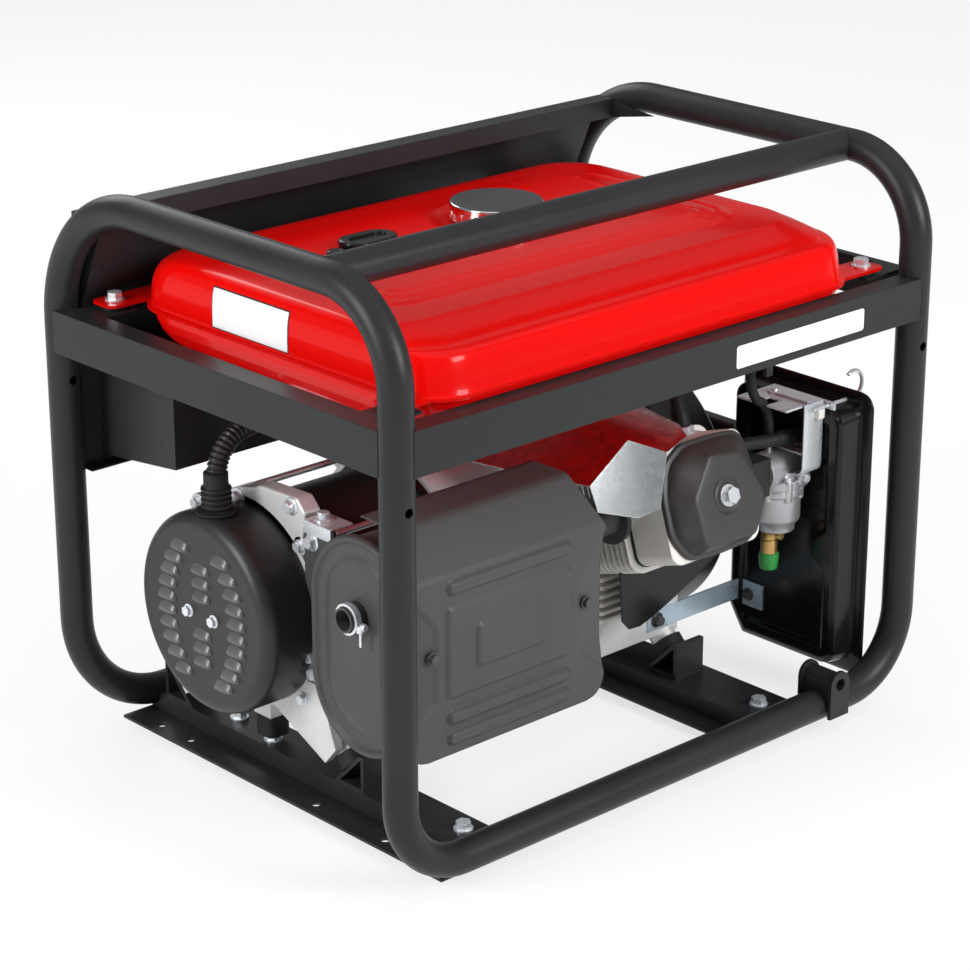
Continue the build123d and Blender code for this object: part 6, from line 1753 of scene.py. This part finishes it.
@dataclass
class MufflerAssembly:
    """The muffler with its outlet and its plate."""

    drum_x: float = -285.0
    drum_y: float = -132.0
    drum_z: float = DECK + 192.0
    drum_width: float = 128.0
    drum_height: float = 204.0
    drum_count: int = 96
    drum_line: tuple[Flat, ...] = ((4.0, 4.0), (5.2, 2.0), (5.2, -1.5), (4.0, -4.2), (1.6, -5.2),
                                   (-1.0, -4.4), (-2.4, -2.4), (-4.0, -1.2), (-12.0, -1.0),
                                   (-15.0, -1.6), (-18.0, -3.4), (-22.0, -4.4), (-34.0, -4.8),
                                   (-50.0, -4.9))
    tail_x: float = -297.0
    tail_y: float = -130.0
    tail_z: float = DECK + 224.0
    clamp: tuple[Flat, ...] = ((12.6, 0.0), (15.0, 0.4), (15.0, 6.6), (12.6, 7.0), (12.6, 0.0))
    screw: tuple[Flat, ...] = ((4.0, -3.0), (4.0, 4.0), (3.0, 5.0), (1.8, 6.0), (1.8, 18.0))
    screw_place: Point = (-3.5, -17.0, -4.0)
    nut: BoltHead = BoltHead(6.5, 5.0)
    nut_shift: float = 2.0
    plate_x: float = -265.0
    plate_bolt: BoltHead = BoltHead(11.0, 6.0, 9.0)
    plate_seats: tuple[Flat, ...] = ((-38.0, DECK + 262.0), (-38.0, DECK + 130.0), (-34.0, DECK + 146.0))
    flange_seat: Flat = (12.0, -40.0)
    flange_z: float = DECK + 281.0
    flange_front: float = -66.0
    flange_back: float = -26.0
    flange_drop: float = 12.0
    flange_gap: float = 1.0
    flange_run: float = 26.0
    flange_sheet: float = 2.0
    flange_round: float = 0.8

    def stadium(self, grow: float, x: float) -> list[Point]:
        """One ring of the muffler's outline.

        Args:
            grow: How far it stands outside the drum.
            x: Its place along X.

        Returns:
            The ring's points.
        """
        radius = self.drum_width / 2 + grow
        straight = self.drum_height / 2 - self.drum_width / 2
        ring = []
        for index in range(self.drum_count):
            turn = math.tau * (index + 0.5) / self.drum_count
            lift = straight if math.sin(turn) > 0 else -straight
            y = self.drum_y + radius * math.cos(turn)
            ring.append((x, y, self.drum_z + lift + radius * math.sin(turn)))
        return ring

    def drum_end(self) -> None:
        """Make the muffler's pressed end with its rolled rim."""
        sketch = Sketch()
        sketch.loft([self.stadium(grow, self.drum_x + reach) for grow, reach in self.drum_line])
        sketch.build("muffler_end", SHIELD_GREY, "shield_grey", smooth_angle=50.0)

    def tail(self) -> None:
        """Make the outlet's clamp with its wing screw."""
        sketch = Sketch()
        base = Vector((self.tail_x, self.tail_y, self.tail_z))
        sketch.turned(base, LEFTWARD, self.clamp, count=40, ends=False)
        ear = base + Vector(self.screw_place)
        sketch.turned(ear, DOWN, self.screw, count=20)
        sketch.hexagon((ear.x, ear.y - self.nut_shift, ear.z + self.nut_shift), FRONTWARD, self.nut)
        sketch.build("outlet_clamp", ZINC, "zinc_steel")

    def plate_bolts(self) -> None:
        """Make the bolts that hold the muffler's plate."""
        sketch = Sketch()
        for y, z in self.plate_seats:
            sketch.hexagon((self.plate_x, y, z), LEFTWARD, self.plate_bolt)
        run, y = self.flange_seat
        top = self.flange_z + self.flange_sheet / 2
        sketch.hexagon((self.plate_x + run, y, top), UP, self.plate_bolt)
        sketch.build("plate_bolts", ZINC, "zinc_steel")

    def plate_flange(self) -> None:
        """Make the folded zinc flange on top of the muffler's plate."""
        left = self.plate_x - self.flange_gap
        right = self.plate_x + self.flange_run
        line = ((left, self.flange_z - self.flange_drop), (left, self.flange_z), (right, self.flange_z))
        sketch = Sketch()
        sketch.grid([[(x, self.flange_front, z), (x, self.flange_back, z)] for x, z in line])
        sketch.build("plate_flange", ZINC, "zinc_steel", smooth_angle=20.0, sheet=self.flange_sheet,
                     rounding=self.flange_round)

    def build(self) -> None:
        """Make the muffler's fittings and dress it."""
        self.drum_end()
        self.tail()
        self.plate_flange()
        self.plate_bolts()
        dress("muffler", SHIELD_GREY)


@dataclass
class PanelAssembly:
    """The control panel with its fittings, rear cover and conduit."""

    gland_x: float = -298.0
    gland_foot: tuple[Flat, ...] = ((20.0, 0.0), (20.0, 1.5), (15.0, 3.0), (11.6, 3.6))
    gland_rib: tuple[Flat, ...] = ((12.4, -0.6), (14.2, 0.0), (14.8, 1.6), (14.2, 3.2), (12.4, 3.8))
    gland_neck: tuple[Flat, ...] = ((11.8, 0.0), (11.8, 12.0), (10.4, 12.8))
    gland_start: float = 5.0
    gland_pitch: float = 5.4
    gland_ribs: int = 4
    conduit_start: float = DECK + 297.2
    conduit_level: float = DECK + 347.0
    turn_y: float = 72.0
    end_x: float = -195.0
    end_y: float = 121.0
    ribs: int = 36
    rib_steps: int = 10
    rib_power: float = 0.6
    outer: float = 10.0
    root: float = 8.4

    def conduit(self) -> None:
        """Make the ribbed conduit."""
        route = [
            (self.gland_x, CRANK_Y, self.conduit_start),
            (self.gland_x, CRANK_Y, self.conduit_level),
            (self.end_x, self.turn_y, self.conduit_level),
            (self.end_x, self.end_y - 2 * self.outer, self.conduit_level),
            (self.end_x, self.end_y, self.conduit_level),
        ]
        line = spline_line(route)
        length = sum((two - one).length for one, two in zip(line, line[1:]))
        pitch = length / self.ribs

        def radius(reach: float) -> float:
            """The conduit's radius at a distance along it."""
            swell = 0.5 + 0.5 * math.sin(math.tau * reach / pitch)
            return self.root + (self.outer - self.root) * swell ** self.rib_power

        sketch = Sketch()
        sketch.tube(line, radius, count=32, stations=self.ribs * self.rib_steps)
        sketch.build("ribbed_conduit", MOULDING, "plastic_black", "conduit")

    def gland(self) -> None:
        """Make the ribbed gland at the conduit's lower end."""
        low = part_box("conduit")[0].z / MM
        steps = list(self.gland_foot)
        rise = self.gland_start
        for _ in range(self.gland_ribs):
            steps.extend((radius, rise + reach) for radius, reach in self.gland_rib)
            rise += self.gland_pitch
        steps.extend((radius, rise + reach) for radius, reach in self.gland_neck)
        sketch = Sketch()
        sketch.turned((self.gland_x, CRANK_Y, low), UP, steps)
        sketch.build("conduit_gland", RUBBER, "plastic_black", "conduit")

    def build(self) -> None:
        """Dress the panel and make the conduit."""
        dress("panel_box", FRAME_BLACK)
        dress_each(MOULDING, "panel_rear_cover", "panel_fittings", "engine_switch_key")
        dress_each(RED_MOULDING, "meter_needle", "reset_button")
        dress_each(GLOSS_MOULDING, "breaker_toggle", "socket_lid_left", "socket_lid_right")
        self.conduit()
        self.gland()


@dataclass(frozen=True)
class Softbox:
    """One soft lamp: its place and size in metres and its power in watts."""

    name: str
    place: Point
    size: Flat
    power: float


@dataclass
class Studio:
    """Floor, soft lights, world and camera, in metres."""

    focal: float = 110.27
    azimuth: float = -42.821
    elevation: float = 20.475
    place: Point = (-1.8802, -2.0149, 1.2694 + DECK * MM)
    sensor: float = 36.0
    far: float = 100.0
    half_floor: float = 25.0
    floor_color: Color = (0.95, 0.95, 0.95)
    shown_white: float = 0.72
    sky: float = 0.28
    sky_color: Color = (0.98, 0.99, 1.0)
    sun: float = 0.85
    sun_spread: float = 80.0
    sun_aim: Point = (-0.06, 0.16, -1.0)
    middle: Point = (0.0, 0.0, 0.3)
    lamps: tuple[Softbox, ...] = (
        Softbox("front_softbox", (0.9, -3.4, 1.9), (1.5, 1.5), 112.0),
        Softbox("left_softbox", (-3.0, 0.4, 1.5), (1.0, 1.5), 72.0),
        Softbox("back_softbox", (0.5, 2.8, 2.0), (2.0, 1.2), 30.0),
    )

    def floor(self) -> None:
        """Lay the white floor, which keeps the object's shadow."""
        half = self.half_floor
        mesh = bpy.data.meshes.new("studio_floor")
        corners = [(-half, -half, 0), (half, -half, 0), (half, half, 0), (-half, half, 0)]
        mesh.from_pydata(corners, [], [(0, 1, 2, 3)])
        plane = bpy.data.objects.new("studio_floor", mesh)
        bpy.context.scene.collection.objects.link(plane)
        pale = bpy.data.materials.new("studio_white")
        pale.use_nodes = True
        tree = pale.node_tree
        shader = tree.nodes["Principled BSDF"]
        shader.inputs["Base Color"].default_value = (*self.floor_color, 1.0)
        shader.inputs["Roughness"].default_value = 1.0
        shader.inputs["Specular IOR Level"].default_value = 0.0
        white = add_node(tree, "ShaderNodeEmission", Strength=1.0)
        rays = add_node(tree, "ShaderNodeLightPath")
        seen = add_node(tree, "ShaderNodeMath", operation="MAXIMUM")
        also = add_node(tree, "ShaderNodeMath", operation="MAXIMUM")
        share = add_node(tree, "ShaderNodeMath", operation="MULTIPLY")
        share.inputs[1].default_value = self.shown_white
        mix = add_node(tree, "ShaderNodeMixShader")
        tree.links.new(rays.outputs["Is Camera Ray"], seen.inputs[0])
        tree.links.new(rays.outputs["Is Glossy Ray"], seen.inputs[1])
        tree.links.new(seen.outputs[0], also.inputs[0])
        tree.links.new(rays.outputs["Is Transmission Ray"], also.inputs[1])
        tree.links.new(also.outputs[0], share.inputs[0])
        tree.links.new(share.outputs[0], mix.inputs[0])
        tree.links.new(shader.outputs[0], mix.inputs[1])
        tree.links.new(white.outputs[0], mix.inputs[2])
        tree.links.new(mix.outputs[0], tree.nodes["Material Output"].inputs["Surface"])
        mesh.materials.append(pale)

    def lamp(self, softbox: Softbox) -> None:
        """Hang one softbox so that it faces the object.

        Args:
            softbox: The lamp's name, place, size and power.
        """
        light = bpy.data.lights.new(softbox.name, "AREA")
        light.shape = "RECTANGLE"
        light.size, light.size_y = softbox.size
        light.energy = softbox.power
        holder = bpy.data.objects.new(softbox.name, light)
        holder.location = softbox.place
        aim = Vector(self.middle) - Vector(softbox.place)
        holder.rotation_euler = aim.to_track_quat("-Z", "Y").to_euler()
        bpy.context.scene.collection.objects.link(holder)

    def overhead(self) -> None:
        """Hang the even overhead light."""
        light = bpy.data.lights.new("overhead", "SUN")
        light.energy = self.sun
        light.angle = math.radians(self.sun_spread)
        holder = bpy.data.objects.new("overhead", light)
        holder.rotation_euler = Vector(self.sun_aim).to_track_quat("-Z", "Y").to_euler()
        bpy.context.scene.collection.objects.link(holder)

    def world(self) -> None:
        """Set the even grey surround."""
        world = bpy.data.worlds.new("studio_world")
        bpy.context.scene.world = world
        world.use_nodes = True
        shown = world.node_tree.nodes["Background"]
        shown.inputs["Color"].default_value = (*self.sky_color, 1.0)
        shown.inputs["Strength"].default_value = self.sky

    def camera(self) -> None:
        """Set the camera where the photograph was taken from."""
        data = bpy.data.cameras.new("studio_camera")
        data.lens = self.focal
        data.sensor_width = self.sensor
        data.clip_end = self.far
        holder = bpy.data.objects.new("studio_camera", data)
        turn = math.radians(self.azimuth)
        lift = math.radians(self.elevation)
        back = Vector((math.sin(turn) * math.cos(lift), -math.cos(turn) * math.cos(lift), math.sin(lift)))
        holder.location = self.place
        holder.rotation_euler = (-back).to_track_quat("-Z", "Y").to_euler()
        bpy.context.scene.collection.objects.link(holder)
        bpy.context.scene.camera = holder

    def build(self) -> None:
        """Build the studio."""
        bpy.context.scene.view_settings.view_transform = "Standard"
        self.floor()
        self.world()
        self.overhead()
        for softbox in self.lamps:
            self.lamp(softbox)
        self.camera()


def main() -> None:
    """Build every sub-assembly in order, then the studio."""
    logging.basicConfig(level=logging.INFO)
    for assembly in (FrameAssembly(), TankAssembly(), AlternatorAssembly(), EngineAssembly(),
                     AirCleanerAssembly(), CarburettorAssembly(), ControlAssembly(), ShieldAssembly(),
                     MufflerAssembly(), PanelAssembly(), Studio()):
        assembly.build()
        LOG.info("built %s", type(assembly).__name__)


if __name__ == "__main__":
    main()
